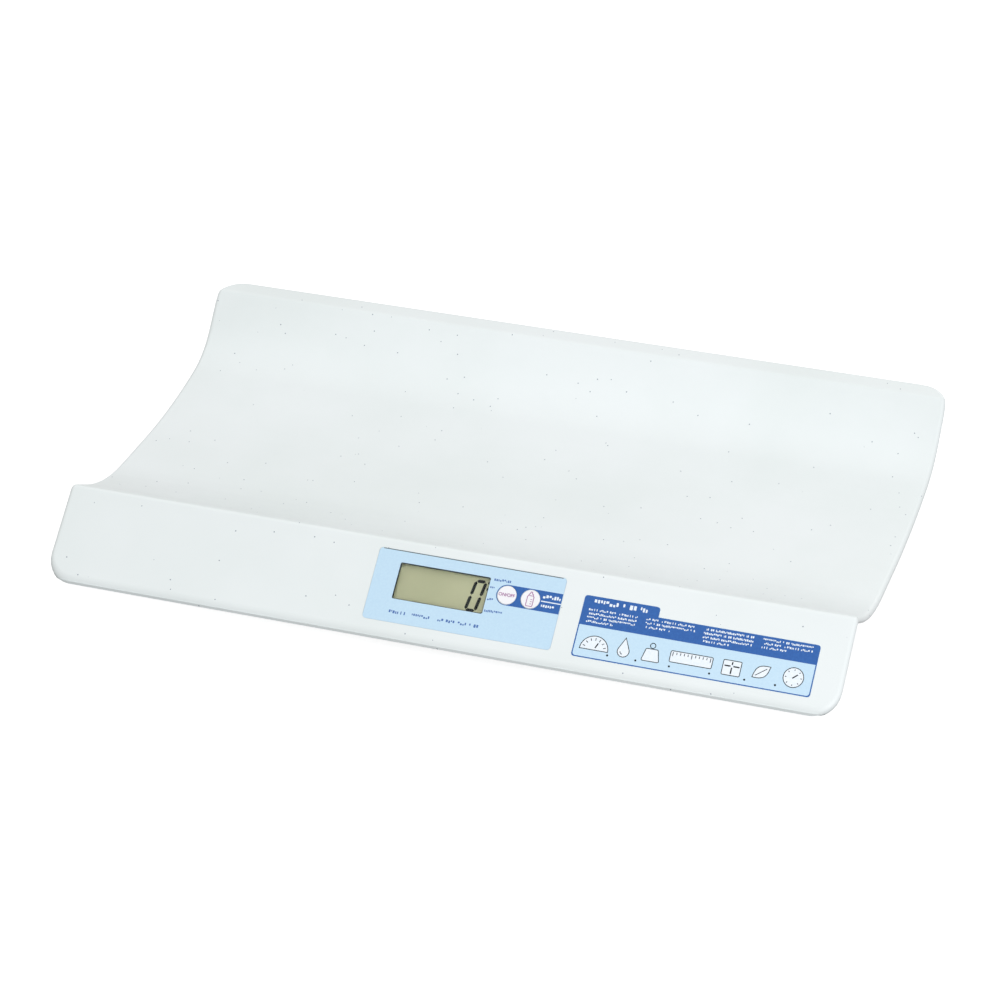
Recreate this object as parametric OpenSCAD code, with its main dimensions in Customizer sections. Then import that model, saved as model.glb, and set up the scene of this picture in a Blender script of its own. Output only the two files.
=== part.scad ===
// Digital baby weighing scale. A curved one-piece tray, with its display in the sloping
// front panel, stands on a low base, and a load cell joins the two.
// Millimetres. +X runs along the tray, +Y to the raised back, +Z up.
// The origin is on the floor, under the middle of the tray.

/* [Tray] */
// Length of the tray
tray_l = 550; // [520:1:600]
// Depth of the tray, from its front edge to the back of its lip
tray_d = 329; // [300:1:345]
// Wall of the tray moulding
wall = 3; // [2.6:0.1:3.2]
// Depth of the skirt under the tray's surface
skirt_h = 5.5; // [5.2:0.1:8]
// Height of the level front edge above the floor
front_edge_z = 9.6; // [8:0.1:10.5]
// Height of the front ridge above the bed
ridge_rise = 24.7; // [22:0.1:28]
// Radius over the front ridge
ridge_r = 4; // [3.6:0.1:6]
// Radius at the front edge
edge_r = 4; // [3.6:0.1:6]
// Slope of the bed just behind the ridge, in degrees
entry_slope = 28; // [24:1:30]
// Radius of the hollow between the ridge and the bed
entry_r = 129; // [100:1:140]
// Radius of the bed's gentle rise
bed_r = 430; // [400:1:460]
// Slope at the end of the gentle rise, in degrees
bed_slope = 12.4; // [11:0.1:13]
// Radius of the turn up into the back
back_r = 60; // [54:1:64]
// Slope of the raised back, in degrees
back_slope = 50; // [46:1:52]
// Horizontal run of the straight part of the back
back_run = 17; // [10:0.1:22]
// Radius of the bend from the back into its lip
lip_bend_r = 4; // [3.6:0.1:5]
// Horizontal run of the flat of the lip
lip_run = 10.6; // [8:0.1:12]
// Slope of the lip, in degrees
lip_slope = 4; // [1:0.5:8]
// Radius at the edge of the lip
lip_edge_r = 4; // [3.6:0.1:5]
// Corner radius at the back, seen from above
back_corner_r = 22; // [15:1:30]
// Corner radius at the front, in the plane of the panel
front_corner_r = 19; // [12:1:24]
// Thickness of the stiffening ribs
rib_t = 2; // [1.5:0.1:3]
// Depth of the stiffening ribs
rib_h = 2; // [1.5:0.1:2.2]
// How far the ribs run across the tray
rib_span = 215; // [150:5:230]
// Distance of the outer ribs from the ends of the tray
rib_inset = 25; // [15:1:35]
// Distance between the two ribs at each end
rib_pitch = 35; // [25:1:40]

/* [Front panel] */
// Tilt of the panel from level, in degrees
panel_tilt = 40.8; // [39:0.1:42]
// Horizontal depth of the panel
panel_run = 51; // [50:0.1:53]
// Width of the display overlay
overlay_w = 130; // [128:1:134]
// Height of the display overlay, along the slope
overlay_h = 50; // [48:0.5:51]
// Thickness of the display overlay
overlay_t = 0.4; // [0.3:0.05:0.6]
// Middle of the overlay along X
overlay_x = 17; // [14:0.5:18]
// Middle of the overlay, down the slope from the ridge
overlay_v = 32.3; // [31.5:0.1:33]
// Width of the instruction label
label_w = 159; // [120:1:160]
// Height of the instruction label
label_h = 35.4; // [30:0.1:37]
// Thickness of the instruction label
label_t = 0.2; // [0.15:0.05:0.4]
// Middle of the label along X
label_x = 176; // [175:0.5:178]
// Middle of the label, down the slope from the ridge
label_v = 40.5; // [38:0.1:41]
// Width of the label's tab
label_tab_w = 51; // [30:1:60]
// Height of the label's tab
label_tab_h = 6.9; // [4:0.1:8]

/* [Display] */
// Width of the visible display
lcd_w = 63; // [56:0.5:64]
// Height of the visible display
lcd_h = 25.6; // [22:0.2:26]
// Middle of the display, down the slope from the ridge
lcd_v = 28.2; // [28:0.1:31]
// Rim of the display glass that the window hides, on each side
lcd_rim = 3.2; // [2.5:0.1:3.4]
// Thickness of the clear window
window_t = 1.4; // [1:0.1:1.6]
// Thickness of the display glass
glass_t = 2.8; // [2:0.1:3]
// Space between the panel and the display glass
glass_gap = 0.3; // [0.2:0.1:0.5]
// Height of the contact strips between the glass and the board
zebra_h = 4; // [3.5:0.1:5]
// Thickness of the display board
board_t = 1.6; // [1:0.1:2]
// Width of the display board
board_w = 122; // [121:0.5:124]
// Height of the display board
board_h = 46; // [45:0.5:47]
// Wall of the cover behind the board
cover_wall = 2; // [1.5:0.1:2.4]

/* [Buttons] */
// Diameter of a button
button_d = 13; // [11:0.5:14]
// Travel of a button
button_travel = 0.6; // [0.3:0.1:0.8]
// How far a button stands out of the panel
button_proud = 0.4; // [0.2:0.1:0.8]
// Middle of the ON/OFF button along X
on_off_x = 44.8; // [43.5:0.1:46]
// Middle of the memory button along X
memory_x = 61; // [60.8:0.1:63]
// Middle of both buttons, down the slope from the ridge
button_v = 25.5; // [24:0.1:28]

/* [Base] */
// Length of the base
base_l = 340; // [330:1:380]
// Depth of the base
base_d = 190; // [186:1:200]
// Corner radius of the base
base_corner_r = 20; // [12:1:30]
// Wall of the base housing
base_wall = 2.5; // [2:0.1:3]
// Floor of the base cover
base_floor = 2.5; // [2.4:0.1:3]
// Top of the base housing
base_top = 2; // [1.6:0.1:2.4]
// Height of the feet under the base
foot_stand = 3; // [2:0.5:5]
// Diameter of a foot
foot_d = 24; // [18:1:28]
// Depth of the well that holds a foot
foot_well = 1.5; // [1:0.1:1.6]
// Distance of a foot's middle from the end of the base
foot_inset_x = 25; // [22:1:32]
// Distance of a foot's middle from the long side of the base
foot_inset_y = 23; // [19:1:29]

/* [Weighing parts] */
// Length of the load cell
cell_l = 80; // [76:1:90]
// Width and height of the load cell
cell_h = 12.7; // [12.6:0.1:14]
// Bore of the cell's bending zone
cell_bore_d = 9; // [8:0.5:10]
// Distance between the two bores of the bending zone
cell_bore_pitch = 13; // [11:0.5:16]
// Length of each end of the cell that is clamped
clamp_l = 25; // [22:1:27]
// Distance between a clamp's two screws
clamp_pitch = 15; // [12:0.5:17]
// Thickness of the steel plate under the fixed end
base_plate_t = 1.5; // [1:0.1:2]
// Length of the steel plate under the fixed end
base_plate_l = 75; // [60:1:100]
// Depth of the steel plate under the fixed end
base_plate_d = 60; // [40:1:80]
// Thickness of the spacer on the free end
spacer_t = 4; // [3.6:0.1:5]
// Length of the platform frame
frame_l = 250; // [246:1:270]
// Depth of the platform frame
frame_d = 140; // [138:1:150]
// Thickness of the platform frame
frame_t = 2; // [1.8:0.1:2.4]
// Height of the tray's bosses over the frame, at the bed
boss_h = 3.6; // [3.2:0.1:5]
// Travel of the platform before it meets its stops
platform_travel = 0.5; // [0.3:0.1:0.6]

/* [Batteries] */
// Diameter of a cell
battery_d = 14.2; // [14:0.1:14.3]
// Length of a cell with its nub
battery_l = 50.5; // [49:0.5:50.5]
// Distance between neighbouring cells
battery_pitch = 16; // [15:0.1:16.2]
// Number of cells
battery_count = 4; // [4:1:4]
// Room for a contact at each end of a cell
contact_gap = 5; // [4:0.5:6]
// Width of the battery door
door_w = 66; // [65:0.5:70]
// Length of the battery door
door_l = 76; // [74:0.5:80]

/* [Fits and fasteners] */
// Clearance round a part that slides or drops in
fit = 0.2; // [0.15:0.05:0.3]
// Clearance round a screw's shank
screw_fit = 0.05; // [0.03:0.01:0.08]
// Diameter of the case screws
case_screw_d = 3; // [2.6:0.1:3.5]
// Diameter of the load cell's screws
cell_screw_d = 4; // [3.5:0.1:5]
// Diameter of the board's screws
board_screw_d = 2.2; // [2:0.1:2.5]
// Diameter of the leads
lead_d = 3.5; // [2.5:0.1:4]

/* [Hidden] */
$fn = 48;
eps = 0.5;
far = 100;

// Heights of the stack, from the floor to the tray's bed
cover_z = foot_stand;
cover_top = cover_z + base_floor;
cell_z = cover_top + base_plate_t;
cell_top = cell_z + cell_h;
frame_z = cell_top + spacer_t;
frame_top = frame_z + frame_t;
bed_under = frame_top + boss_h;
bed_z = bed_under + wall;
ridge_z = bed_z + ridge_rise;
frame_gap = 1;
housing_top = frame_z - frame_gap;
housing_under = housing_top - base_top;

// The tray's surface, from the ridge's sharp corner at y = 0, z = 0
ridge_y = panel_run - tray_d / 2;
edge_y = edge_r - panel_run;
edge_z = edge_y * tan(panel_tilt) - edge_r / cos(panel_tilt);
ridge_cy = ridge_r * (1 / cos(panel_tilt) - 1 / cos(entry_slope))
    / (tan(panel_tilt) + tan(entry_slope));
ridge_cz = ridge_cy * tan(panel_tilt) - ridge_r / cos(panel_tilt);
entry_y = (ridge_rise - entry_r * (1 - cos(entry_slope))) / tan(entry_slope)
    + entry_r * sin(entry_slope);
back_y = back_r * (sin(back_slope) - sin(bed_slope)) + back_run;
lip_cy = tray_d - panel_run - lip_edge_r;
bend_cy = lip_cy - lip_run + (lip_bend_r - lip_edge_r) * sin(lip_slope);
bed_end_y = bend_cy - lip_bend_r * sin(back_slope) - back_y;
bed_back = bed_end_y - bed_r * sin(bed_slope);
bed_end_z = bed_r * (1 - cos(bed_slope)) - ridge_rise;
back_cy = bed_end_y - back_r * sin(bed_slope);
back_cz = bed_end_z + back_r * cos(bed_slope);
bend_cz = back_cz - back_r * cos(back_slope) + back_run * tan(back_slope)
    - lip_bend_r * cos(back_slope);
lip_cz = bend_cz + (lip_bend_r - lip_edge_r) * cos(lip_slope) + lip_run * tan(lip_slope);

// Points of an arc as [y, z, slope], and the same curve laid "depth" below the surface
function hollow(cy, cz, r, s0, s1, n) =
    [for (i = [0:n]) let(s = s0 + (s1 - s0) * i / n) [cy + r * sin(s), cz - r * cos(s), s]];
function hump(cy, cz, r, s0, s1, n) =
    [for (i = [0:n]) let(s = s0 + (s1 - s0) * i / n) [cy - r * sin(s), cz + r * cos(s), s]];
surface = concat(
    hump(edge_y, edge_z, edge_r, 90, panel_tilt, 4),
    hump(ridge_cy, ridge_cz, ridge_r, panel_tilt, -entry_slope, 6),
    hollow(entry_y, entry_r - ridge_rise, entry_r, -entry_slope, 0, 8),
    hollow(bed_back, bed_r - ridge_rise, bed_r, 0, bed_slope, 6),
    hollow(back_cy, back_cz, back_r, bed_slope + 3, back_slope, 9),
    hump(bend_cy, bend_cz, lip_bend_r, back_slope, lip_slope, 6),
    hump(lip_cy, lip_cz, lip_edge_r, lip_slope, -90, 8));
function below(depth) =
    [for (p = surface) [ridge_y + p[0] + depth * sin(p[2]), ridge_z + p[1] - depth * cos(p[2])]];
function lowered(points, drop) = [for (p = points) [p[0], p[1] - drop]];
function backwards(points) = [for (i = [len(points) - 1:-1:0]) points[i]];

// Plan outlines with rounded corners
function corner(cx, cy, rx, ry, start, n = 6) =
    [for (i = [0:n]) let(a = start + 90 * i / n) [cx + rx * cos(a), cy + ry * sin(a)]];
function round_rect(l, d, r) = concat(
    corner(l / 2 - r, d / 2 - r, r, r, 0), corner(r - l / 2, d / 2 - r, r, r, 90),
    corner(r - l / 2, r - d / 2, r, r, 180), corner(l / 2 - r, r - d / 2, r, r, 270));
front_ry = front_corner_r * cos(panel_tilt);
function tray_plan(inset) =
    let(hl = tray_l / 2 - inset, hd = tray_d / 2 - inset, br = back_corner_r - inset,
        fx = front_corner_r - inset, fy = front_ry - inset)
    concat(
        corner(hl - br, hd - br, br, br, 0), corner(br - hl, hd - br, br, br, 90),
        corner(fx - hl, fy - hd, fx, fy, 180), corner(hl - fx, fy - hd, fx, fy, 270));

// Depths under the panel's face
recess_w = -overlay_t;
window_w = recess_w - window_t;
glass_w = -wall - glass_gap;
zebra_w = glass_w - glass_t;
board_w_top = zebra_w - zebra_h;
board_w_back = board_w_top - board_t;
back_room = 2.8;
cover_w = board_w_back - back_room;
glass_l = lcd_w + 2 * lcd_rim;
glass_h = lcd_h + 2 * lcd_rim;
holder_wall = 1.8;
holder_l = glass_l + 2 * (holder_wall + fit);
holder_h = glass_h + 2 * (holder_wall + fit);
post_d = 5.6;
post_inset = 3.3;
post_x = board_w / 2 - post_inset;
post_v = board_h / 2 - post_inset;
tub_l = board_w + 2 * (fit + cover_wall);
tub_h = board_h + 2 * (fit + cover_wall);
ear_l = 11;
ear_t = 2.5;
ear_w = board_w_top;
ear_x = tub_l / 2 + ear_l / 2;
flange_over = 1.4;
flange_t = 1.2;
switch_size = 6;
switch_h = 3.5;
plunger_d = 3.4;
plunger_out = 1;
plunger_in = 1.6;
switch_top = board_w_top + switch_h;
plunger_top = switch_top + plunger_out;
chip_h = 1.6;
main_chip = 14;
side_chip_l = 6;
side_chip_h = 10;
header_l = 8;
header_d = 6;
header_h = 2.4;
header_v = 42;
signal_x = -30;
power_x = -19;

// Places in the base
clamp_x = cell_l / 2 - clamp_l / 2;
screw_rows = [-1, 1];
foot_x = base_l / 2 - foot_inset_x;
foot_y = base_d / 2 - foot_inset_y;
screw_inset_x = 50;
screw_inset_y = 11;
case_screw_x = [for (side = [-1, 0, 1]) side * (base_l / 2 - screw_inset_x)];
case_screw_y = base_d / 2 - screw_inset_y;
frame_screw_x = [-100, 0, 100];
frame_screw_y = frame_d / 2 - 15;
pad_x = frame_l / 2 - 8;
pad_y = frame_d / 2 - 8;
pad_d = 8;
frame_corner_r = 12;
plate_corner_r = 5;
relief_d = 44;
relief_x = [-65, 85];
boss_d = 8;
csk_h = 1.4;
door_x = base_l / 2 - door_l;
bay_x = door_x - fit;
bay_end = bay_x + battery_l + 2 * contact_gap;
bay_half = door_w / 2 + fit;
bay_wall = 2;
bay_top = housing_under - fit;
battery_z = cover_top + battery_d / 2 + 0.3;
tongue_t = 1;
tongue_w = 1.4;
tongue_z = cover_z + (base_floor - tongue_t) / 2;
contact_t = 0.4;
contact_side = 11;
lead_z = 14;
lead_hole_d = lead_d + 3;
signal_hole_x = -60;
power_hole_x = -48;

module on_panel(x = 0, v = 0, w = 0) {
    translate([0, ridge_y, ridge_z]) rotate([panel_tilt, 0, 0]) translate([x, -v, w]) children();
}

module block(l, d, h) {
    translate([-l / 2, -d / 2, 0]) cube([l, d, h]);
}

module slab(l, d, h, r) {
    linear_extrude(h) polygon(round_rect(l, d, r));
}

// A solid with the side view "points", l long, across the middle of the tray
module along_x(points, l) {
    translate([-l / 2, 0, 0]) rotate([90, 0, 90]) linear_extrude(l) polygon(points);
}

module under_surface(depth, l) {
    points = below(depth);
    along_x(concat(points, [[points[len(points) - 1][0], 0], [points[0][0], 0]]), l);
}

module tray_prism(inset) {
    linear_extrude(2 * far) polygon(tray_plan(inset));
}

module screw(d, length) {
    cylinder(d = d, h = length);
    translate([0, 0, -csk_h]) cylinder(d1 = d + 2 * csk_h, d2 = d, h = csk_h);
}

// The hole for a countersunk screw whose head is flush with z = 0
module screw_hole(d, length) {
    translate([0, 0, -eps]) cylinder(d = d + 2 * screw_fit, h = length + eps);
    depth = csk_h + eps + 2 * screw_fit;
    translate([0, 0, -eps]) cylinder(d1 = d + 2 * depth, d2 = d, h = depth);
}

module flush_screw(d, length) {
    translate([0, 0, csk_h]) screw(d, length - csk_h);
}

module pan_screw(d, length, head_h) {
    translate([0, 0, -length]) cylinder(d = d, h = length);
    cylinder(d1 = 1.9 * d, d2 = 1.6 * d, h = head_h);
}

// Tray -----------------------------------------------------------------------------------

module tray_skin() {
    difference() {
        intersection() {
            along_x(concat(below(0), backwards(lowered(below(0), skirt_h))), tray_l);
            tray_prism(0);
            translate([0, 0, front_edge_z]) block(tray_l, tray_d, far);
        }
        intersection() {
            under_surface(wall, tray_l - 2 * wall);
            tray_prism(wall);
        }
    }
}

module tray_ribs() {
    points = below(wall - eps);
    intersection() {
        for (side = screw_rows, inset = [rib_inset, rib_inset + rib_pitch])
            translate([side * (tray_l / 2 - inset), 0, 0])
                along_x(concat(points, backwards(lowered(points, rib_h))), rib_t);
        block(tray_l - 2 * wall, rib_span, far);
    }
}

module tray_bosses() {
    intersection() {
        for (x = frame_screw_x, side = screw_rows)
            translate([x, side * frame_screw_y, frame_top]) cylinder(d = boss_d, h = far);
        under_surface(wall - eps, frame_l);
    }
}

module panel_posts() {
    for (side = screw_rows, row = screw_rows)
        on_panel(overlay_x + side * post_x, overlay_v + row * post_v, board_w_top)
            cylinder(d = post_d, h = -board_w_top - wall + eps);
    for (side = screw_rows)
        on_panel(overlay_x + side * ear_x, overlay_v, ear_w)
            cylinder(d = boss_d, h = -ear_w - wall + eps);
}

module label_shape(grow) {
    union() {
        square([label_w + 2 * grow, label_h + 2 * grow], center = true);
        translate([-label_w / 2 - grow, label_h / 2 - 1])
            square([label_tab_w + 2 * grow, label_tab_h + 1 + grow]);
    }
}

module top_shell() {
    color("white") difference() {
        union() {
            tray_skin();
            tray_ribs();
            tray_bosses();
            panel_posts();
        }
        on_panel(overlay_x, overlay_v, recess_w)
            block(overlay_w + 2 * fit, overlay_h + 2 * fit, far);
        on_panel(0, lcd_v, window_w) block(glass_l - 2 * fit, glass_h - 2 * fit, far);
        on_panel(0, lcd_v, -wall - eps) block(lcd_w + 1, lcd_h + 1, far);
        for (x = [on_off_x, memory_x])
            on_panel(x, button_v, -wall - eps) cylinder(d = button_d + 2 * fit, h = far);
        on_panel(label_x, label_v, -label_t) linear_extrude(far) label_shape(fit);
        for (x = frame_screw_x, side = screw_rows)
            translate([x, side * frame_screw_y, frame_z])
                cylinder(d = case_screw_d + 2 * screw_fit, h = frame_t + boss_h + 1.4);
        for (side = screw_rows, row = screw_rows)
            on_panel(overlay_x + side * post_x, overlay_v + row * post_v, board_w_top - eps)
                cylinder(d = board_screw_d + 2 * screw_fit, h = 6);
        for (side = screw_rows)
            on_panel(overlay_x + side * ear_x, overlay_v, ear_w - eps)
                cylinder(d = case_screw_d + 2 * screw_fit, h = 7);
    }
}

// Display --------------------------------------------------------------------------------

module display_overlay() {
    color("lightblue") on_panel(overlay_x, overlay_v, recess_w) difference() {
        block(overlay_w, overlay_h, overlay_t);
        translate([-overlay_x, overlay_v - lcd_v, -eps]) block(lcd_w, lcd_h, far);
        for (x = [on_off_x, memory_x])
            translate([x - overlay_x, overlay_v - button_v, -eps])
                cylinder(d = button_d + 2 * fit, h = far);
    }
}

module lcd_window() {
    color("lightgrey", 0.5) on_panel(0, lcd_v, window_w)
        block(glass_l - 4 * fit, glass_h - 4 * fit, window_t);
}

module lcd_glass() {
    color("darkkhaki") on_panel(0, lcd_v, zebra_w) block(glass_l, glass_h, glass_t);
}

module lcd_holder() {
    color("white") on_panel(0, lcd_v, board_w_top) difference() {
        block(holder_l, holder_h, -wall - board_w_top);
        translate([0, 0, -eps])
            block(holder_l - 2 * holder_wall, holder_h - 2 * holder_wall, far);
    }
}

module zebra_strips() {
    strip_t = 2;
    color("dimgrey") for (side = screw_rows)
        on_panel(0, lcd_v + side * (glass_h - strip_t) / 2, board_w_top)
            block(glass_l - 4, strip_t, zebra_h);
}

module display_board() {
    color("seagreen") on_panel(overlay_x, overlay_v, board_w_back) difference() {
        block(board_w, board_h, board_t);
        for (side = screw_rows, row = screw_rows)
            translate([side * post_x, row * post_v, -eps])
                cylinder(d = board_screw_d + 2 * screw_fit, h = far);
    }
}

module board_chips() {
    color("black") {
        on_panel(overlay_x - main_chip, overlay_v, board_w_back - chip_h)
            block(main_chip, main_chip, chip_h);
        on_panel(overlay_x + 2 * side_chip_h, overlay_v + side_chip_l, board_w_back - chip_h)
            block(side_chip_l, side_chip_h, chip_h);
        for (x = [signal_x, power_x])
            on_panel(x, header_v, board_w_back - header_h) block(header_l, header_d, header_h);
    }
}

module tact_switches() {
    color("silver") for (x = [on_off_x, memory_x])
        on_panel(x, button_v, board_w_top) difference() {
            block(switch_size, switch_size, switch_h);
            translate([0, 0, switch_h - plunger_in - button_travel - fit])
                cylinder(d = plunger_d + 2 * screw_fit, h = far);
        }
}

module board_screws() {
    color("silver") for (side = screw_rows, row = screw_rows)
        on_panel(overlay_x + side * post_x, overlay_v + row * post_v, board_w_back)
            rotate([180, 0, 0]) pan_screw(board_screw_d, board_t + 4.5, 1.4);
}

module display_cover() {
    color("white") difference() {
        union() {
            on_panel(overlay_x, overlay_v, cover_w - cover_wall)
                block(tub_l, tub_h, cover_wall - cover_w - wall);
            for (side = screw_rows)
                on_panel(overlay_x + side * ear_x, overlay_v, ear_w - ear_t)
                    block(ear_l + 1, 12, ear_t);
        }
        on_panel(overlay_x, overlay_v, cover_w)
            block(tub_l - 2 * cover_wall, tub_h - 2 * cover_wall, far);
        for (side = screw_rows)
            on_panel(overlay_x + side * ear_x, overlay_v, ear_w - ear_t - eps)
                cylinder(d = case_screw_d + 2 * screw_fit, h = ear_t + 2 * eps);
        for (x = [signal_x, power_x])
            on_panel(x, header_v, cover_w - cover_wall - eps)
                cylinder(d = lead_hole_d, h = cover_wall + 2 * eps);
    }
}

module cover_screws() {
    color("silver") for (side = screw_rows)
        on_panel(overlay_x + side * ear_x, overlay_v, ear_w - ear_t)
            rotate([180, 0, 0]) pan_screw(case_screw_d, ear_t + 5.5, 1.8);
}

module instruction_label() {
    color("lightskyblue") on_panel(label_x, label_v, -label_t)
        linear_extrude(label_t) label_shape(0);
}

module button(x) {
    on_panel(x, button_v, 0) rotate_extrude() polygon([
        [0, plunger_top], [plunger_d / 2, plunger_top],
        [plunger_d / 2, -wall - flange_t - 0.1],
        [button_d / 2 + flange_over, -wall - flange_t - 0.1],
        [button_d / 2 + flange_over, -wall - 0.1], [button_d / 2, -wall - 0.1],
        [button_d / 2, button_proud - 0.3], [button_d / 2 - 0.3, button_proud],
        [0, button_proud]]);
}

module plunger(x) {
    on_panel(x, button_v, switch_top - plunger_in)
        cylinder(d = plunger_d, h = plunger_in + plunger_out);
}

module on_off_button() {
    color("whitesmoke") button(on_off_x);
}

module on_off_plunger() {
    color("black") plunger(on_off_x);
}

module memory_button() {
    color("whitesmoke") button(memory_x);
}

module memory_plunger() {
    color("black") plunger(memory_x);
}

// Leads ----------------------------------------------------------------------------------

function unit(v) = v / norm(v);
function lead_end(x, w) = [x, ridge_y - header_v * cos(panel_tilt) - w * sin(panel_tilt),
    ridge_z - header_v * sin(panel_tilt) + w * cos(panel_tilt)];

// A tube of eight sides along a list of points, mitred where it turns
module tube_along(points, d) {
    n = len(points);
    sides = 8;
    rings = [for (i = [0:n - 1])
        let(t_in = unit(points[max(i, 1)] - points[max(i, 1) - 1]),
            t_out = unit(points[min(i, n - 2) + 1] - points[min(i, n - 2)]),
            t = unit(t_in + t_out), side = unit(cross(t, [0.1, 0.2, 1])), top = cross(side, t))
        for (k = [0:sides - 1]) points[i]
            + d / 2 * (cos(360 * k / sides) * side + sin(360 * k / sides) * top)];
    skin = [for (i = [0:n - 2], k = [0:sides - 1], half = [0, 1])
        let(a = i * sides + k, b = i * sides + (k + 1) % sides)
        half == 0 ? [a, a + sides, b] : [b, a + sides, b + sides]];
    cap_a = [for (k = [1:sides - 2]) [0, k, k + 1]];
    cap_b = [for (k = [1:sides - 2]) [(n - 1) * sides, (n - 1) * sides + k + 1,
        (n - 1) * sides + k]];
    polyhedron(rings, concat(skin, cap_a, cap_b));
}

lead_stop = board_w_back - header_h - 0.1;
module signal_lead() {
    color("dimgrey") tube_along([
        [-30, -cell_h / 2 - 0.3, lead_z], [-30, -cell_h / 2 - 8, lead_z],
        [-36, -24, lead_z], [signal_hole_x + 5, -50, lead_z], [signal_hole_x, -72, lead_z],
        [signal_hole_x, -base_d / 2 - 4, lead_z], [signal_x - 20, -base_d / 2 - 14, lead_z - 1],
        [signal_x - 8, -base_d / 2 - 20, lead_z - 2], lead_end(signal_x, cover_w - 8),
        lead_end(signal_x, lead_stop)], lead_d);
}

module power_lead() {
    color("firebrick") tube_along([
        [bay_x - bay_wall - 0.3, -20, lead_z], [bay_x - bay_wall - 9, -20, lead_z],
        [bay_x - 22, -26, lead_z], [40, -60, lead_z],
        [0, -70, lead_z], [power_hole_x + 12, -74, lead_z], [power_hole_x, -82, lead_z],
        [power_hole_x, -base_d / 2 - 4, lead_z], [power_x - 16, -base_d / 2 - 14, lead_z - 1],
        [power_x - 5, -base_d / 2 - 20, lead_z - 2], lead_end(power_x, cover_w - 8),
        lead_end(power_x, lead_stop)], lead_d);
}

// Weighing parts -------------------------------------------------------------------------

module clamp_holes(x, z, d, h) {
    for (side = screw_rows) translate([x + side * clamp_pitch / 2, 0, z]) cylinder(d = d, h = h);
}

module platform_frame() {
    flange_l = frame_l - 40;
    flange_h = 5;
    color("silver") difference() {
        union() {
            translate([0, 0, frame_z]) slab(frame_l, frame_d, frame_t, frame_corner_r);
            for (side = screw_rows)
                translate([0, side * (frame_d - frame_t) / 2, frame_z])
                    block(flange_l, frame_t, flange_h);
        }
        clamp_holes(clamp_x, frame_z - eps, cell_screw_d + 2 * screw_fit, frame_t + 2 * eps);
        for (x = frame_screw_x, side = screw_rows)
            translate([x, side * frame_screw_y, frame_z]) screw_hole(case_screw_d, frame_t + eps);
        for (x = relief_x)
            translate([x, 0, frame_z - eps]) cylinder(d = relief_d, h = frame_t + 2 * eps);
    }
}

module frame_screws() {
    color("silver") for (x = frame_screw_x, side = screw_rows)
        translate([x, side * frame_screw_y, frame_z])
            flush_screw(case_screw_d, frame_t + boss_h + 1);
}

module upper_spacer() {
    color("silver") difference() {
        translate([clamp_x, 0, cell_top]) block(clamp_l, cell_h, spacer_t);
        clamp_holes(clamp_x, cell_top - eps, cell_screw_d + 2 * screw_fit, spacer_t + 2 * eps);
    }
}

module cell_screws_top() {
    color("silver") for (side = screw_rows)
        translate([clamp_x + side * clamp_pitch / 2, 0, frame_top])
            pan_screw(cell_screw_d, frame_t + spacer_t + 8, 2.2);
}

module load_cell() {
    color("lightgrey") difference() {
        translate([0, 0, cell_z]) block(cell_l, cell_h, cell_h);
        for (side = screw_rows)
            translate([side * cell_bore_pitch / 2, cell_h / 2 + eps, cell_z + cell_h / 2])
                rotate([90, 0, 0]) cylinder(d = cell_bore_d, h = cell_h + 2 * eps);
        translate([0, 0, cell_z + cell_h / 2 - 1.5]) block(cell_bore_pitch, cell_h + 2 * eps, 3);
        for (x = [-clamp_x, clamp_x])
            clamp_holes(x, cell_z - eps, cell_screw_d + 2 * screw_fit, cell_h + 2 * eps);
    }
}

module strain_gauges() {
    gauge_t = 0.3;
    color("goldenrod") for (side = screw_rows, z = [cell_z - gauge_t, cell_top])
        translate([side * cell_bore_pitch / 2, 0, z]) block(8, 6, gauge_t);
}

module base_plate() {
    color("silver") difference() {
        translate([-cell_l / 2 + clamp_l - base_plate_l / 2, 0, cover_top])
            slab(base_plate_l, base_plate_d, base_plate_t, plate_corner_r);
        clamp_holes(-clamp_x, cover_top - eps, cell_screw_d + 2 * screw_fit,
            base_plate_t + 2 * eps);
    }
}

module cell_screws_bottom() {
    color("silver") for (side = screw_rows)
        translate([-clamp_x + side * clamp_pitch / 2, 0, cover_z])
            flush_screw(cell_screw_d, base_floor + base_plate_t + 8);
}

// Base -----------------------------------------------------------------------------------

module base_housing() {
    inner_l = base_l - 2 * base_wall;
    inner_d = base_d - 2 * base_wall;
    color("white") difference() {
        union() {
            difference() {
                translate([0, 0, cover_top])
                    slab(base_l, base_d, housing_top - cover_top, base_corner_r);
                translate([0, 0, cover_top - eps])
                    slab(inner_l, inner_d, housing_under - cover_top + eps,
                        base_corner_r - base_wall);
            }
            for (x = case_screw_x, side = screw_rows)
                translate([x, side * case_screw_y, cover_top])
                    cylinder(d = boss_d, h = housing_under - cover_top + eps);
            for (side_x = screw_rows, side_y = screw_rows)
                translate([side_x * pad_x, side_y * pad_y, housing_top - eps])
                    cylinder(d = pad_d, h = frame_gap - platform_travel + eps);
        }
        translate([clamp_x, 0, housing_under - eps])
            block(clamp_l + 4, cell_h + 4, base_top + 2 * eps);
        for (x = case_screw_x, side = screw_rows)
            translate([x, side * case_screw_y, cover_top - eps])
                cylinder(d = case_screw_d + 2 * screw_fit, h = 10);
        for (x = frame_screw_x, side = screw_rows)
            translate([x, side * frame_screw_y, housing_under - eps])
                cylinder(d = boss_d, h = base_top + 2 * eps);
        for (x = [signal_hole_x, power_hole_x])
            translate([x, base_wall + 1 - base_d / 2, lead_z])
                rotate([90, 0, 0]) cylinder(d = lead_hole_d, h = base_wall + 2);
    }
}

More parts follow.
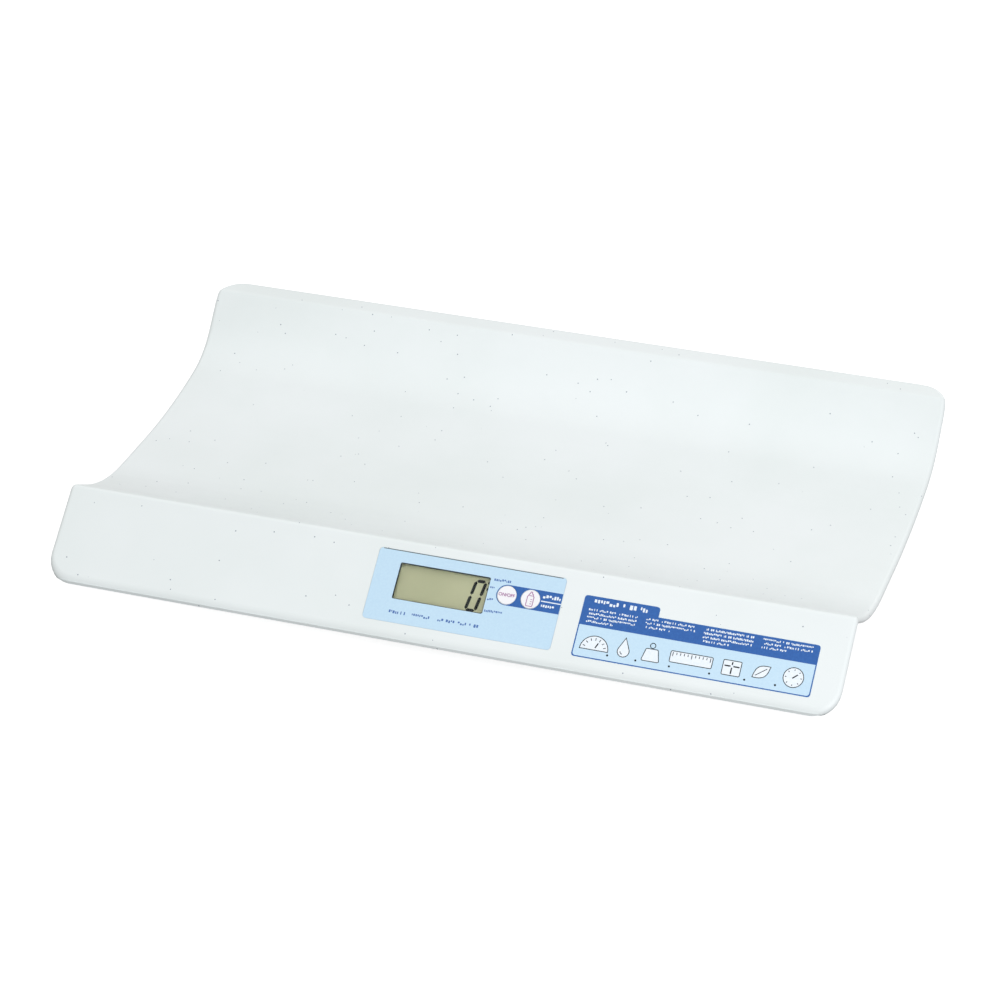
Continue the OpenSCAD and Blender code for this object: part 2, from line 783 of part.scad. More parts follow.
module bay_walls() {
    wall_h = bay_top - cover_top;
    length = bay_end + bay_wall - bay_x;
    for (side = screw_rows)
        translate([bay_x + length / 2, side * (bay_half + bay_wall / 2), cover_top - eps])
            block(length, bay_wall, wall_h + eps);
    translate([bay_x - bay_wall / 2, 0, cover_top - eps])
        block(bay_wall, 2 * (bay_half + bay_wall), wall_h + eps);
    translate([bay_end + bay_wall / 2, 0, cover_top])
        block(bay_wall, 2 * bay_half + bay_wall, wall_h);
}

module base_cover() {
    opening_l = base_l / 2 - bay_x + 1;
    color("white") difference() {
        union() {
            difference() {
                translate([0, 0, cover_z]) slab(base_l, base_d, base_floor, base_corner_r);
                translate([bay_x + opening_l / 2, 0, cover_z - eps])
                    block(opening_l, 2 * bay_half, base_floor + 2 * eps);
                translate([bay_x + opening_l / 2, 0, tongue_z - 0.15])
                    block(opening_l, 2 * (bay_half + tongue_w), tongue_t + 0.3);
            }
            bay_walls();
        }
        for (x = [-foot_x, foot_x], y = [-foot_y, foot_y])
            translate([x, y, cover_z - eps])
                cylinder(d = foot_d + 2 * fit, h = foot_well + eps);
        for (x = case_screw_x, side = screw_rows)
            translate([x, side * case_screw_y, cover_z]) screw_hole(case_screw_d, base_floor + eps);
        for (side = screw_rows)
            translate([-clamp_x + side * clamp_pitch / 2, 0, cover_z])
                screw_hole(cell_screw_d, base_floor + eps);
    }
}

module base_screws() {
    color("silver") for (x = case_screw_x, side = screw_rows)
        translate([x, side * case_screw_y, cover_z]) flush_screw(case_screw_d, 11);
}

module foot(side_x, side_y) {
    color("dimgrey") translate([side_x * foot_x, side_y * foot_y, 0]) rotate_extrude() polygon([
        [0, 0], [foot_d / 2 - 1.5, 0], [foot_d / 2, 1.5],
        [foot_d / 2, foot_stand + foot_well], [0, foot_stand + foot_well]]);
}

// Batteries ------------------------------------------------------------------------------

function battery_y(i) = (i - (battery_count + 1) / 2) * battery_pitch;

module battery(i) {
    nub_d = 5.4;
    nub_h = 1.5;
    color("goldenrod") translate([bay_x + contact_gap + battery_l / 2, battery_y(i), battery_z])
        rotate([0, i % 2 == 0 ? 90 : -90, 0]) translate([0, 0, -battery_l / 2]) {
            cylinder(d = battery_d, h = battery_l - nub_h);
            cylinder(d = nub_d, h = battery_l);
        }
}

// A plate on the bay's end wall with a sprung leaf that reaches the cell
module contact() {
    leaf_w = 5;
    translate([0, -contact_side / 2, -contact_side / 2]) cube([contact_t, contact_side, contact_side]);
    translate([0, leaf_w / 2, 0]) rotate([90, 0, 0]) linear_extrude(leaf_w) polygon([
        [contact_t - 0.1, -4], [contact_gap - 0.5, -0.5], [contact_gap - 0.1, 0.5],
        [contact_gap - 0.6, 2.5], [contact_gap - 1, 2.3], [contact_gap - 0.5, 0.5],
        [contact_gap - 0.8, -0.1], [contact_t - 0.1, -3.4]]);
}

module battery_contacts() {
    color("silver") for (i = [1:battery_count]) {
        translate([bay_x, battery_y(i), battery_z]) contact();
        translate([bay_end, battery_y(i), battery_z]) mirror([1, 0, 0]) contact();
    }
}

module battery_door() {
    color("white") difference() {
        union() {
            translate([door_x + door_l / 2, 0, cover_z])
                block(door_l, door_w, base_floor - fit);
            translate([door_x + door_l / 2, 0, tongue_z])
                block(door_l, door_w + 2 * tongue_w, tongue_t);
        }
        for (i = [0:4]) translate([base_l / 2 - 10 - 4 * i, 0, cover_z - eps])
            block(1.6, 26, 0.6 + eps);
    }
}

top_shell();
platform_frame();
frame_screws();
upper_spacer();
cell_screws_top();
display_overlay();
lcd_window();
lcd_glass();
lcd_holder();
zebra_strips();
display_board();
board_chips();
tact_switches();
board_screws();
display_cover();
cover_screws();
instruction_label();
signal_lead();
power_lead();
on_off_button();
on_off_plunger();
memory_button();
memory_plunger();
base_housing();
base_cover();
base_screws();
base_plate();
load_cell();
strain_gauges();
cell_screws_bottom();
foot(-1, -1);  // foot_front_left
foot(1, -1);  // foot_front_right
foot(-1, 1);  // foot_back_left
foot(1, 1);  // foot_back_right
battery(1);  // battery_1
battery(2);  // battery_2
battery(3);  // battery_3
battery(4);  // battery_4
battery_contacts();
battery_door();
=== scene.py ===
"""Looks of the baby weighing scale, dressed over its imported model.

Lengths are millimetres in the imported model's frame: +X along the tray, +Y to its raised back,
+Z up, with the origin on the floor under the middle of the tray. MM turns them into metres.
Places on the sloping front panel are given as x, v and w: v runs down the slope from the
ridge, and w out of the panel's face. Slopes are degrees. A comment marks values in metres.
"""
import math

import bmesh
import bpy
import numpy as np
from mathutils import Matrix, Vector


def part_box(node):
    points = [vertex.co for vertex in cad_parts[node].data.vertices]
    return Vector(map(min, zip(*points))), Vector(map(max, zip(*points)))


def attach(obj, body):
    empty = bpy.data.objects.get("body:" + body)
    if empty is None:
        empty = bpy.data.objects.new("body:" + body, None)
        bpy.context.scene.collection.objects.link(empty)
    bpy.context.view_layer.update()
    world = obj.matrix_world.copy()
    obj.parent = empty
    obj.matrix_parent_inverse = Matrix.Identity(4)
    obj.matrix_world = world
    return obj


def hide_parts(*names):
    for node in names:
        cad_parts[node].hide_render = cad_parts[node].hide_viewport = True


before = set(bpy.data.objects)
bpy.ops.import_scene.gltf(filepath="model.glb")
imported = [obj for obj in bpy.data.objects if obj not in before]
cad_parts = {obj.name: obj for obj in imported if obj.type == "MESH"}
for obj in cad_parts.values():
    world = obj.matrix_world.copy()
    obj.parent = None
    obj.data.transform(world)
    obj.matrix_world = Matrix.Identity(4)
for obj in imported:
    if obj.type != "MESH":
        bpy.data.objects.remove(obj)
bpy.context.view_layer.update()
MM = 0.001


def node_box(node):
    """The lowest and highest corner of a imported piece, in millimetres."""
    return [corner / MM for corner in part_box(node)]


# Tray -------------------------------------------

HALF_L = node_box("top_shell")[1].x
HALF_D = node_box("top_shell")[1].y
FRONT_EDGE_Z = node_box("top_shell")[0].z
FRAME_T = 2.0
FRAME_TOP = node_box("upper_spacer")[1].z + FRAME_T
WALL = 3.0
SKIRT_H = 5.5
BED_Z = 32.3
RIDGE_RISE = 24.7
PANEL_RUN = 51.0
PANEL_TILT = 40.8
RIDGE_R = 3.4
ENTRY_SLOPE = 28.0
ENTRY_R = 129.0
BED_R = 430.0
BED_SLOPE = 12.4
BACK_R = 60.0
BACK_SLOPE = 50.0
BACK_RUN = 17.0
LIP_BEND_R = 4.0
LIP_RUN = 10.6
LIP_SLOPE = 4.0
LIP_EDGE_R = 4.0
EDGE_R = 3.2
FOOT_R = 2.2
FOOT_CHAMFER = 0.3
BACK_CORNER_R = 22.0
FRONT_CORNER_RX = 19.0
FRONT_CORNER_RY = FRONT_CORNER_RX * math.cos(math.radians(PANEL_TILT))
RIDGE_Y = PANEL_RUN - HALF_D
RIDGE_Z = BED_Z + RIDGE_RISE
# The grid of the tray's mesh: its rows' widest step and least gap, and how far from an arc's
# ends a row lies beside them
COLUMNS = 24
ROW_STEP = 12.0
ROW_GAP = 0.3
BESIDE_ARC = 1.0
FILLET_RINGS = 7
FOOT_RINGS = 3

TILT = math.radians(PANEL_TILT)
PANEL = Matrix.Translation((0, RIDGE_Y, RIDGE_Z)) @ Matrix.Rotation(TILT, 4, "X")


def sin_deg(angle):
    return math.sin(math.radians(angle))


def cos_deg(angle):
    return math.cos(math.radians(angle))


def tan_deg(angle):
    return math.tan(math.radians(angle))


class Arc:
    """A round stretch of the tray's side view, from slope s0 to slope s1 in degrees.
    turn is 1 for a hollow and -1 for a hump."""

    def __init__(self, cy, cz, r, s0, s1, turn):
        self.cy, self.cz, self.r, self.s0, self.s1, self.turn = cy, cz, r, s0, s1, turn

    def point(self, slope):
        return (self.cy + self.turn * self.r * sin_deg(slope),
                self.cz - self.turn * self.r * cos_deg(slope))

    def height(self, y):
        return self.cz - self.turn * math.sqrt(max(self.r ** 2 - (y - self.cy) ** 2, 0))

    def slopes(self, step):
        count = max(2, math.ceil(abs(self.s1 - self.s0) / step))
        return [self.s0 + (self.s1 - self.s0) * i / count for i in range(count + 1)]


def tray_arcs():
    """The round stretches from the ridge to the lip's edge; straight ones join them."""
    ridge_cy = RIDGE_R * (1 / math.cos(TILT) - 1 / cos_deg(ENTRY_SLOPE))
    ridge_cy /= math.tan(TILT) + tan_deg(ENTRY_SLOPE)
    ridge_cz = ridge_cy * math.tan(TILT) - RIDGE_R / math.cos(TILT)
    entry_cy = (RIDGE_RISE - ENTRY_R * (1 - cos_deg(ENTRY_SLOPE))) / tan_deg(ENTRY_SLOPE)
    entry_cy += ENTRY_R * sin_deg(ENTRY_SLOPE)
    lip_cy = HALF_D - LIP_EDGE_R
    bend_cy = lip_cy - LIP_RUN + (LIP_BEND_R - LIP_EDGE_R) * sin_deg(LIP_SLOPE)
    back_start = bend_cy - LIP_BEND_R * sin_deg(BACK_SLOPE) - BACK_RUN
    back_start -= BACK_R * (sin_deg(BACK_SLOPE) - sin_deg(BED_SLOPE))
    bed = Arc(back_start - BED_R * sin_deg(BED_SLOPE), BED_Z + BED_R, BED_R, 0, BED_SLOPE, 1)
    back_z = bed.point(BED_SLOPE)[1] + BACK_R * cos_deg(BED_SLOPE)
    back = Arc(back_start - BACK_R * sin_deg(BED_SLOPE), back_z, BACK_R, BED_SLOPE, BACK_SLOPE, 1)
    bend_z = back.point(BACK_SLOPE)[1] + BACK_RUN * tan_deg(BACK_SLOPE)
    bend_z -= LIP_BEND_R * cos_deg(BACK_SLOPE)
    lip_z = bend_z + LIP_RUN * tan_deg(LIP_SLOPE)
    lip_z += (LIP_BEND_R - LIP_EDGE_R) * cos_deg(LIP_SLOPE)
    return [
        Arc(RIDGE_Y + ridge_cy, RIDGE_Z + ridge_cz, RIDGE_R, PANEL_TILT, -ENTRY_SLOPE, -1),
        Arc(RIDGE_Y + entry_cy, BED_Z + ENTRY_R, ENTRY_R, -ENTRY_SLOPE, 0, 1),
        bed, back, Arc(bend_cy, bend_z, LIP_BEND_R, BACK_SLOPE, LIP_SLOPE, -1),
        Arc(lip_cy, lip_z, LIP_EDGE_R, LIP_SLOPE, -90, -1)]


ARCS = tray_arcs()
# Degrees between the grid's rows on each of them
ARC_STEPS = (4, 2, 1.5, 2.5, 6, 8)
ARC_SPANS = [(arc.point(arc.s0)[0], arc.point(arc.s1)[0], arc) for arc in ARCS]
FRONT_Z = RIDGE_Z - PANEL_RUN * math.tan(TILT)
KNOTS = [(-HALF_D, FRONT_Z)] + [arc.point(s) for arc in ARCS for s in (arc.s0, arc.s1)]


def surface_z(y):
    """Height of the tray's surface at depth y, before its outer edge is rounded."""
    for start, end, arc in ARC_SPANS:
        if start <= y <= end:
            return arc.height(y)
    return float(np.interp(y, *zip(*KNOTS)))


def under_line():
    """The side view of the tray's underside, one wall under its surface."""
    points = [(-HALF_D, FRONT_Z, PANEL_TILT)]
    points += [(*arc.point(s), s) for arc in ARCS for s in arc.slopes(1)]
    return [(y + WALL * sin_deg(s), z - WALL * cos_deg(s)) for y, z, s in points]


UNDER = under_line()


def under_z(y):
    return float(np.interp(y, *zip(*UNDER)))


def edge_drop(inset):
    """How far the rounded edge has dropped at a distance inside the outline."""
    inset = min(inset, EDGE_R)
    return EDGE_R - math.sqrt(EDGE_R * EDGE_R - (EDGE_R - inset) ** 2)


def rim_z(y, inset):
    """Height of the rounded outer edge; at the back the lip's own arc already rounds it."""
    return surface_z(y) + edge_drop(max(HALF_D - y, 0)) - edge_drop(inset)


def plan_row(y, inset):
    """A row of the grid, given by its y at the inset of the top, moved to another inset.
    Returns its y and half its length there; its ends follow the rounded corners."""
    front_cy = FRONT_CORNER_RY - HALF_D
    back_cy = HALF_D - BACK_CORNER_R
    if y < front_cy:
        s = min((front_cy - y) / (FRONT_CORNER_RY - EDGE_R), 1)
        c = math.sqrt(1 - s * s)
        half = HALF_L - FRONT_CORNER_RX + (FRONT_CORNER_RX - inset) * c
        return front_cy - (FRONT_CORNER_RY - inset) * s, half
    if y > back_cy:
        s = min((y - back_cy) / (BACK_CORNER_R - EDGE_R), 1)
        c = math.sqrt(1 - s * s)
        half = HALF_L - BACK_CORNER_R + (BACK_CORNER_R - inset) * c
        return back_cy + (BACK_CORNER_R - inset) * s, half
    return y, HALF_L - inset


def tray_rows():
    """The depths of the grid's rows: close at the corners and arcs, wide on the flats."""
    corner_angles = (0, 12, 24, 35, 45, 54, 62, 69, 75, 80, 84, 87, 90)
    kept = [FRONT_CORNER_RY - HALF_D - (FRONT_CORNER_RY - EDGE_R) * sin_deg(a)
            for a in corner_angles]
    kept += [HALF_D - BACK_CORNER_R + (BACK_CORNER_R - EDGE_R) * sin_deg(a)
             for a in corner_angles]
    low, high = min(kept), max(kept)
    wanted = []
    for arc, step in zip(ARCS, ARC_STEPS):
        wanted += [arc.point(s)[0] for s in arc.slopes(step)]
        wanted += [arc.point(arc.s0)[0] - BESIDE_ARC, arc.point(arc.s1)[0] + BESIDE_ARC]
    wanted += list(np.arange(low, high, ROW_STEP))
    for y in wanted:
        if low < y < high and min(abs(y - k) for k in kept) > ROW_GAP:
            kept.append(float(y))
    return sorted(kept)


def tray_vertices(rows):
    """The tray's vertices, as a top grid, rings round its edge and a grid underneath."""
    columns = [2 * i / COLUMNS - 1 for i in range(COLUMNS + 1)]

    def grid(inset, height):
        flat = [plan_row(y, inset) for y in rows]
        return [(half * c, y, height(y)) for y, half in flat for c in columns]

    def ring(inset, height):
        flat = [plan_row(y, inset) for y in rows]
        outer = [plan_row(y, 0)[0] for y in rows]
        # Row and share of the half length: the front row, right end, back row and left end
        path = [(0, c) for c in columns] + [(j, 1) for j in range(1, len(rows) - 1)]
        path += [(-1, -c) for c in columns] + [(j, -1) for j in range(len(rows) - 2, 0, -1)]
        return [(flat[j][1] * c, flat[j][0], height(flat[j][0], outer[j])) for j, c in path]

    def foot_z(y, outer_y):
        return max(surface_z(outer_y) - SKIRT_H, FRONT_EDGE_Z)

    top = grid(EDGE_R, surface_z)
    rings = []
    for i in range(1, FILLET_RINGS + 1):
        inset = EDGE_R * (1 - sin_deg(90 * i / FILLET_RINGS))
        rings.append(ring(inset, lambda y, outer_y: rim_z(y, inset)))
    for i in range(FOOT_RINGS + 1):
        angle = 90 * i / FOOT_RINGS
        inset = FOOT_R * (1 - cos_deg(angle))
        lift = FOOT_R * (1 - sin_deg(angle))
        rings.append(ring(inset, lambda y, outer_y: foot_z(y, outer_y) + lift))
    rings.append(ring(WALL - FOOT_CHAMFER, foot_z))
    rings.append(ring(WALL, lambda y, outer_y: foot_z(y, outer_y) + FOOT_CHAMFER))
    return top, rings, grid(WALL, under_z)


# Vertices closer than this, in metres, become one
MERGE = 1e-7
FINE_MERGE = 1e-8


def clean_mesh(mesh, merge):
    """Merges a mesh's doubled vertices and turns its faces outwards."""
    work = bmesh.new()
    work.from_mesh(mesh)
    bmesh.ops.remove_doubles(work, verts=work.verts, dist=merge)
    bmesh.ops.recalc_face_normals(work, faces=work.faces)
    work.to_mesh(mesh)
    work.free()


def build_mesh(name, vertices, faces):
    """A mesh from millimetre vertices."""
    mesh = bpy.data.meshes.new(name)
    mesh.from_pydata([[c * MM for c in v] for v in vertices], [], faces)
    clean_mesh(mesh, MERGE)
    return mesh


def add_object(name, data):
    piece = bpy.data.objects.new(name, data)
    bpy.context.scene.collection.objects.link(piece)
    return piece


def evaluated_mesh(piece):
    """The mesh that a piece's modifiers, curve or text come to."""
    graph = bpy.context.evaluated_depsgraph_get()
    return bpy.data.meshes.new_from_object(piece.evaluated_get(graph))


def drawn_mesh(name, drawing):
    """The mesh of a curve or of a line of text."""
    piece = add_object(name, drawing)
    mesh = evaluated_mesh(piece)
    bpy.data.objects.remove(piece)
    return mesh


def place(piece, body, slot, *nodes):
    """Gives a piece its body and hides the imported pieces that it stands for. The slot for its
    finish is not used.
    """
    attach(piece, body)
    if nodes:
        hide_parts(*nodes)


def tray_skin():
    """The tray's moulding as one closed mesh."""
    rows = tray_rows()
    top, rings, under = tray_vertices(rows)
    wide, deep = COLUMNS + 1, len(rows)
    border = list(range(wide)) + [j * wide + COLUMNS for j in range(1, deep - 1)]
    border += [(deep - 1) * wide + i for i in range(COLUMNS, -1, -1)]
    border += [j * wide for j in range(deep - 2, 0, -1)]
    around = len(border)
    vertices = list(top)
    loops = [border]
    for ring in rings:
        loops.append([len(vertices) + i for i in range(around)])
        vertices += ring
    base = len(vertices)
    vertices += under
    loops.append([base + i for i in border])
    faces = []
    for start in (0, base):
        for j in range(deep - 1):
            for i in range(COLUMNS):
                a = start + j * wide + i
                faces.append((a, a + 1, a + 1 + wide, a + wide))
    for one, two in zip(loops, loops[1:]):
        for i in range(around):
            k = (i + 1) % around
            faces.append((one[i], one[k], two[k], two[i]))
    return add_object("tray_shell", build_mesh("tray_shell", vertices, faces))


def prism(points, low, high, matrix=Matrix()):
    """A closed prism over a flat outline, from height low to high, moved by a matrix."""
    count = len(points)
    vertices = [matrix @ Vector((x, y, z)) for z in (low, high) for x, y in points]
    faces = [tuple(range(count)), tuple(range(count, 2 * count))]
    faces += [(i, (i + 1) % count, count + (i + 1) % count, count + i) for i in range(count)]
    return build_mesh("prism", vertices, faces)


def panel_prism(loop, low, high):
    """A prism over an outline of (x, v) points, from depth low to high over the panel."""
    return prism([(x, -v) for x, v in loop], low, high, PANEL)


def circle(cx, cv, r, count=64):
    angles = [2 * math.pi * i / count for i in range(count)]
    return [(cx + r * math.cos(a), cv + r * math.sin(a)) for a in angles]


def rounded_rect(cx, cv, w, h, r, count=8):
    """A rectangle with round corners, as (x, v) points."""
    loop = []
    for k, (sx, sv) in enumerate(((1, 1), (-1, 1), (-1, -1), (1, -1))):
        for i in range(count + 1):
            a = math.radians(90 * k + 90 * i / count)
            loop.append((cx + sx * (w / 2 - r) + r * math.cos(a),
                         cv + sv * (h / 2 - r) + r * math.sin(a)))
    return loop


def combine(target, tool_mesh, operation):
    """Joins a closed mesh to the target, or cuts it out."""
    tool = add_object("tool", tool_mesh)
    modifier = target.modifiers.new("combine", "BOOLEAN")
    modifier.operation = operation
    modifier.solver = "EXACT"
    modifier.object = tool
    mesh = evaluated_mesh(target)
    target.modifiers.clear()
    target.data = mesh
    bpy.data.objects.remove(tool)


def smooth(piece, angle):
    """Smooth shading with sharp edges kept above an angle in degrees."""
    piece.data.shade_smooth()
    piece.data.set_sharp_from_angle(angle=math.radians(angle))
    modifier = piece.modifiers.new("normals", "WEIGHTED_NORMAL")
    modifier.keep_sharp = True
    modifier.weight = 100


RIB_T = 2.0
RIB_H = 2.0
RIB_SPAN = 215.0
RIB_POINTS = 60
RIB_X = (HALF_L - 60, HALF_L - 25)
SUNK = 0.5
BOSS_D = 8.0
BOSS_SUNK = 1.2
FRAME_SCREWS = [(x, y) for x in (-100, 0, 100) for y in (-55.0, 55.0)]
SCREW_D = 3.1
SCREW_BELOW, SCREW_DEPTH = 1.0, 5.0
BOSS_SIDES, SCREW_SIDES = 32, 24


def tray_ribs():
    """Stiffening ribs that follow the underside near both ends."""
    depths = np.linspace(-RIB_SPAN / 2, RIB_SPAN / 2, RIB_POINTS)
    outline = [(y, under_z(y) + SUNK) for y in depths]
    outline += [(y, under_z(y) + SUNK - RIB_H) for y in reversed(depths)]
    # Stands the outline up in the plane of y and z, and lays the prism along x
    turn = Matrix(((0, 0, 1, 0), (1, 0, 0, 0), (0, 1, 0, 0), (0, 0, 0, 1)))
    for side in (-1, 1):
        for x in RIB_X:
            spot = Matrix.Translation((side * x - RIB_T / 2, 0, 0)) @ turn
            yield prism(outline, 0, RIB_T, spot)


def tray_bosses():
    """Round bosses that stand on the steel plate, one for each of its screws."""
    for x, y in FRAME_SCREWS:
        top = under_z(y) + BOSS_SUNK
        yield prism(circle(x, y, BOSS_D / 2, BOSS_SIDES), FRAME_TOP, top)


# Front panel ------------------------------------

OVERLAY_X, OVERLAY_V, OVERLAY_W, OVERLAY_H, OVERLAY_T = 17.0, 32.3, 130.0, 50.0, 0.4
OVERLAY_R = 2.5
LCD_V, LCD_W, LCD_H = 28.2, 63.0, 25.6
LCD_R = 1.2
LCD_MARGIN, LCD_OPENING_R = 0.5, 1.0
WINDOW_W, WINDOW_H, WINDOW_T = 68.6, 31.2, 1.4
WINDOW_R = 0.5
BUTTON_X = {"on_off": 44.8, "memory": 61.0}
BUTTON_V, BUTTON_D, BUTTON_PROUD = 25.5, 13.0, 0.4
FIT = 0.2
LABEL_X, LABEL_V, LABEL_W, LABEL_H, LABEL_T = 176.0, 40.5, 159.0, 35.4, 0.2
TAB_W, TAB_H = 51.0, 6.9
LABEL_R = 2.2
BOARD_TOP = -10.1
POST_D, POST_X, POST_V = 5.6, 57.7, 19.7
EAR_X = 68.7
# How far the cutters reach out of the panel and through it
CUT_OUT, CUT_THROUGH = 30.0, 15.0


def label_loop(grow=0.0):
    """The label's outline with its tab at the upper left, as (x, v) points."""
    left, right = LABEL_X - LABEL_W / 2 - grow, LABEL_X + LABEL_W / 2 + grow
    top, low = LABEL_V - LABEL_H / 2 - grow, LABEL_V + LABEL_H / 2 + grow
    tab_top, tab_right = top - TAB_H, left + TAB_W + 2 * grow
    # Each corner with its share of the radius
    corners = [(right, low, 1), (left, low, 1), (left, tab_top, 1), (tab_right, tab_top, 1),
               (tab_right, top, 0.2), (right, top, 1)]
    return round_loop([(x, v, LABEL_R * share) for x, v, share in corners])


def round_loop(corners):
    """An outline of (x, v, radius) corners, rounded by short curves."""
    loop, count = [], 6
    for i, (x, v, r) in enumerate(corners):
        here = Vector((x, v))
        before = Vector(corners[i - 1][:2]) - here
        after = Vector(corners[(i + 1) % len(corners)][:2]) - here
        start, end = here + before.normalized() * r, here + after.normalized() * r
        for k in range(count + 1):
            t = k / count
            loop.append(tuple((1 - t) ** 2 * start + 2 * t * (1 - t) * here + t * t * end))
    return loop


def button_holes():
    return [circle(x, BUTTON_V, BUTTON_D / 2 + FIT) for x in BUTTON_X.values()]


def panel_posts():
    """Posts for the display board and its cover, behind the panel."""
    spots = [(OVERLAY_X + sx * POST_X, OVERLAY_V + sv * POST_V, POST_D)
             for sx in (-1, 1) for sv in (-1, 1)]
    spots += [(OVERLAY_X + sx * EAR_X, OVERLAY_V, BOSS_D) for sx in (-1, 1)]
    for x, v, d in spots:
        yield panel_prism(circle(x, v, d / 2, BOSS_SIDES), BOARD_TOP, SUNK - WALL)


def tray_cuts():
    """Recesses and holes of the tray, as closed meshes to cut out of it."""
    film = rounded_rect(OVERLAY_X, OVERLAY_V, OVERLAY_W + 2 * FIT, OVERLAY_H + 2 * FIT, OVERLAY_R)
    yield panel_prism(film, -OVERLAY_T, CUT_OUT)
    window = rounded_rect(0, LCD_V, WINDOW_W + 2 * FIT, WINDOW_H + 2 * FIT, WINDOW_R)
    yield panel_prism(window, -OVERLAY_T - WINDOW_T, CUT_OUT)
    opening = rounded_rect(0, LCD_V, LCD_W + 2 * LCD_MARGIN, LCD_H + 2 * LCD_MARGIN, LCD_OPENING_R)
    yield panel_prism(opening, -CUT_THROUGH, CUT_OUT)
    for hole in button_holes():
        yield panel_prism(hole, -CUT_THROUGH, CUT_OUT)
    yield panel_prism(label_loop(FIT), -LABEL_T, CUT_OUT)
    for x, y in FRAME_SCREWS:
        hole = circle(x, y, SCREW_D / 2, SCREW_SIDES)
        yield prism(hole, FRAME_TOP - SCREW_BELOW, FRAME_TOP + SCREW_DEPTH)


def tray_shell():
    """The whole tray: skin, ribs, bosses and posts, with its recesses and holes cut."""
    shell = tray_skin()
    for maker in (tray_ribs, tray_bosses, panel_posts):
        for mesh in maker():
            combine(shell, mesh, "UNION")
    for mesh in tray_cuts():
        combine(shell, mesh, "DIFFERENCE")
    smooth(shell, angle=32)
    shell.data.materials.append(MATERIALS["tray"])
    place(shell, "platform", "tray_plastic", "top_shell")


def plate(name, finish, loops, low, high, slot, *nodes, body="platform"):
    """A flat plate on the panel, from outlines of (x, v) points. An outline inside another
    is a hole, and separate outlines are separate islands."""
    curve = bpy.data.curves.new(name, "CURVE")
    curve.dimensions = "2D"
    curve.fill_mode = "BOTH"
    curve.extrude = (high - low) / 2
    for loop in loops:
        spline = curve.splines.new("POLY")
        spline.points.add(len(loop) - 1)
        for point, (x, v) in zip(spline.points, loop):
            point.co = (x, -v, 0, 1)
        spline.use_cyclic_u = True
    mesh = drawn_mesh(name, curve)
    mesh.transform(Matrix.Scale(MM, 4) @ PANEL @ Matrix.Translation((0, 0, (low + high) / 2)))
    clean_mesh(mesh, FINE_MERGE)
    mesh.materials.append(MATERIALS[finish])
    place(add_object(name, mesh), body, slot, *nodes)


INK = 0.03
CAPSULE_H = 14.2
CAPSULE_V = 25.4
CAPSULE_INSET = 0.1
EDGE_LINE_H = 0.5
# The film's lines of print: x, v, length and height
FILM_PRINT = (
    (32.9, 16.2, 13, 1.8), (32.4, 22.2, 3.5, 1.7), (32.4, 30.2, 4.6, 1.7), (32.4, 38.3, 13, 1.8),
    (-31, 50, 14, 2.2), (-15, 50, 15, 2.2), (3, 50, 12, 2.2), (17, 50, 15, 2.2))
# The capsule's white line and its lines of print, from the memory key's right edge and the
# capsule's middle: x, v, length and height, and the seed of the blocks
DIVIDER = (7.6, 0.1, 13.6, 0.7)
CAPSULE_PRINT = ((1.5, -3.3, 12, 2.5, 5), (1.5, 3.6, 9.5, 2.5, 8))


def text_bars(x, v, length, height, seed):
    """A line of small blocks that stands for a line of print and spells nothing. The seed
    starts a plain count that makes the blocks uneven."""
    bars, along, step = [], 0.0, seed
    while along < length - 0.3 * height:
        step = (step * 37 + 11) % 101
        wide = min(height * (0.28 + 0.4 * step / 100), length - along)
        tall = height * (0.5 + 0.5 * (step * 7 % 13) / 12)
        shift = (height - tall) / 2 * (1 if step % 2 else -1)
        if step % 7:
            bars.append(rounded_rect(x + along + wide / 2, v + shift, wide, tall,
                                     0.08 * height, 2))
        along += wide + 0.2 * height
    return bars


def ring_loops(cx, cv, r, line):
    return [circle(cx, cv, r, 48), circle(cx, cv, r - line, 48)]


def stroke(points, line, closed=False):
    """The outline of a line of even width through (x, v) points."""
    path = [Vector(p) for p in points]
    count = len(path)
    sides = ([], [])
    for i, here in enumerate(path):
        into = here - path[i - 1] if closed or i else path[1] - here
        out = path[(i + 1) % count] - here if closed or i < count - 1 else into
        along = (into.normalized() + out.normalized()).normalized()
        across = Vector((-along.y, along.x))
        reach = line / 2 / max(abs(across.dot(Vector((-into.y, into.x)).normalized())), 0.5)
        sides[0].append(tuple(here + across * reach))
        sides[1].append(tuple(here - across * reach))
    if closed:
        return [sides[0], sides[1]]
    return [sides[0] + sides[1][::-1]]


def overlay():
    """The light-blue film with its openings for the display and the two buttons."""
    loops = [rounded_rect(OVERLAY_X, OVERLAY_V, OVERLAY_W, OVERLAY_H, OVERLAY_R),
             rounded_rect(0, LCD_V, LCD_W, LCD_H, LCD_R), *button_holes()]
    plate("overlay_film", "film", loops, -OVERLAY_T, 0, "overlay_film", "display_overlay")


def overlay_capsule():
    """The dark-blue capsule printed round the two buttons."""
    left = BUTTON_X["on_off"] - CAPSULE_H / 2 - CAPSULE_INSET
    right = OVERLAY_X + OVERLAY_W / 2 - CAPSULE_INSET
    r = CAPSULE_H / 2
    arc = [(left + r + r * cos_deg(a), CAPSULE_V + r * sin_deg(a)) for a in range(90, 271, 6)]
    loops = [arc + [(right, CAPSULE_V - r), (right, CAPSULE_V + r)], *button_holes()]
    plate("overlay_capsule", "ink_blue", loops, 0, INK, "overlay_film")


def overlay_words():
    """Small blocks in place of the overlay's lines of print."""
    loops = []
    for seed, (x, v, length, height) in enumerate(FILM_PRINT, 3):
        loops += text_bars(x, v, length, height, seed)
    plate("overlay_print", "ink_mid", loops, 0, INK, "overlay_film")


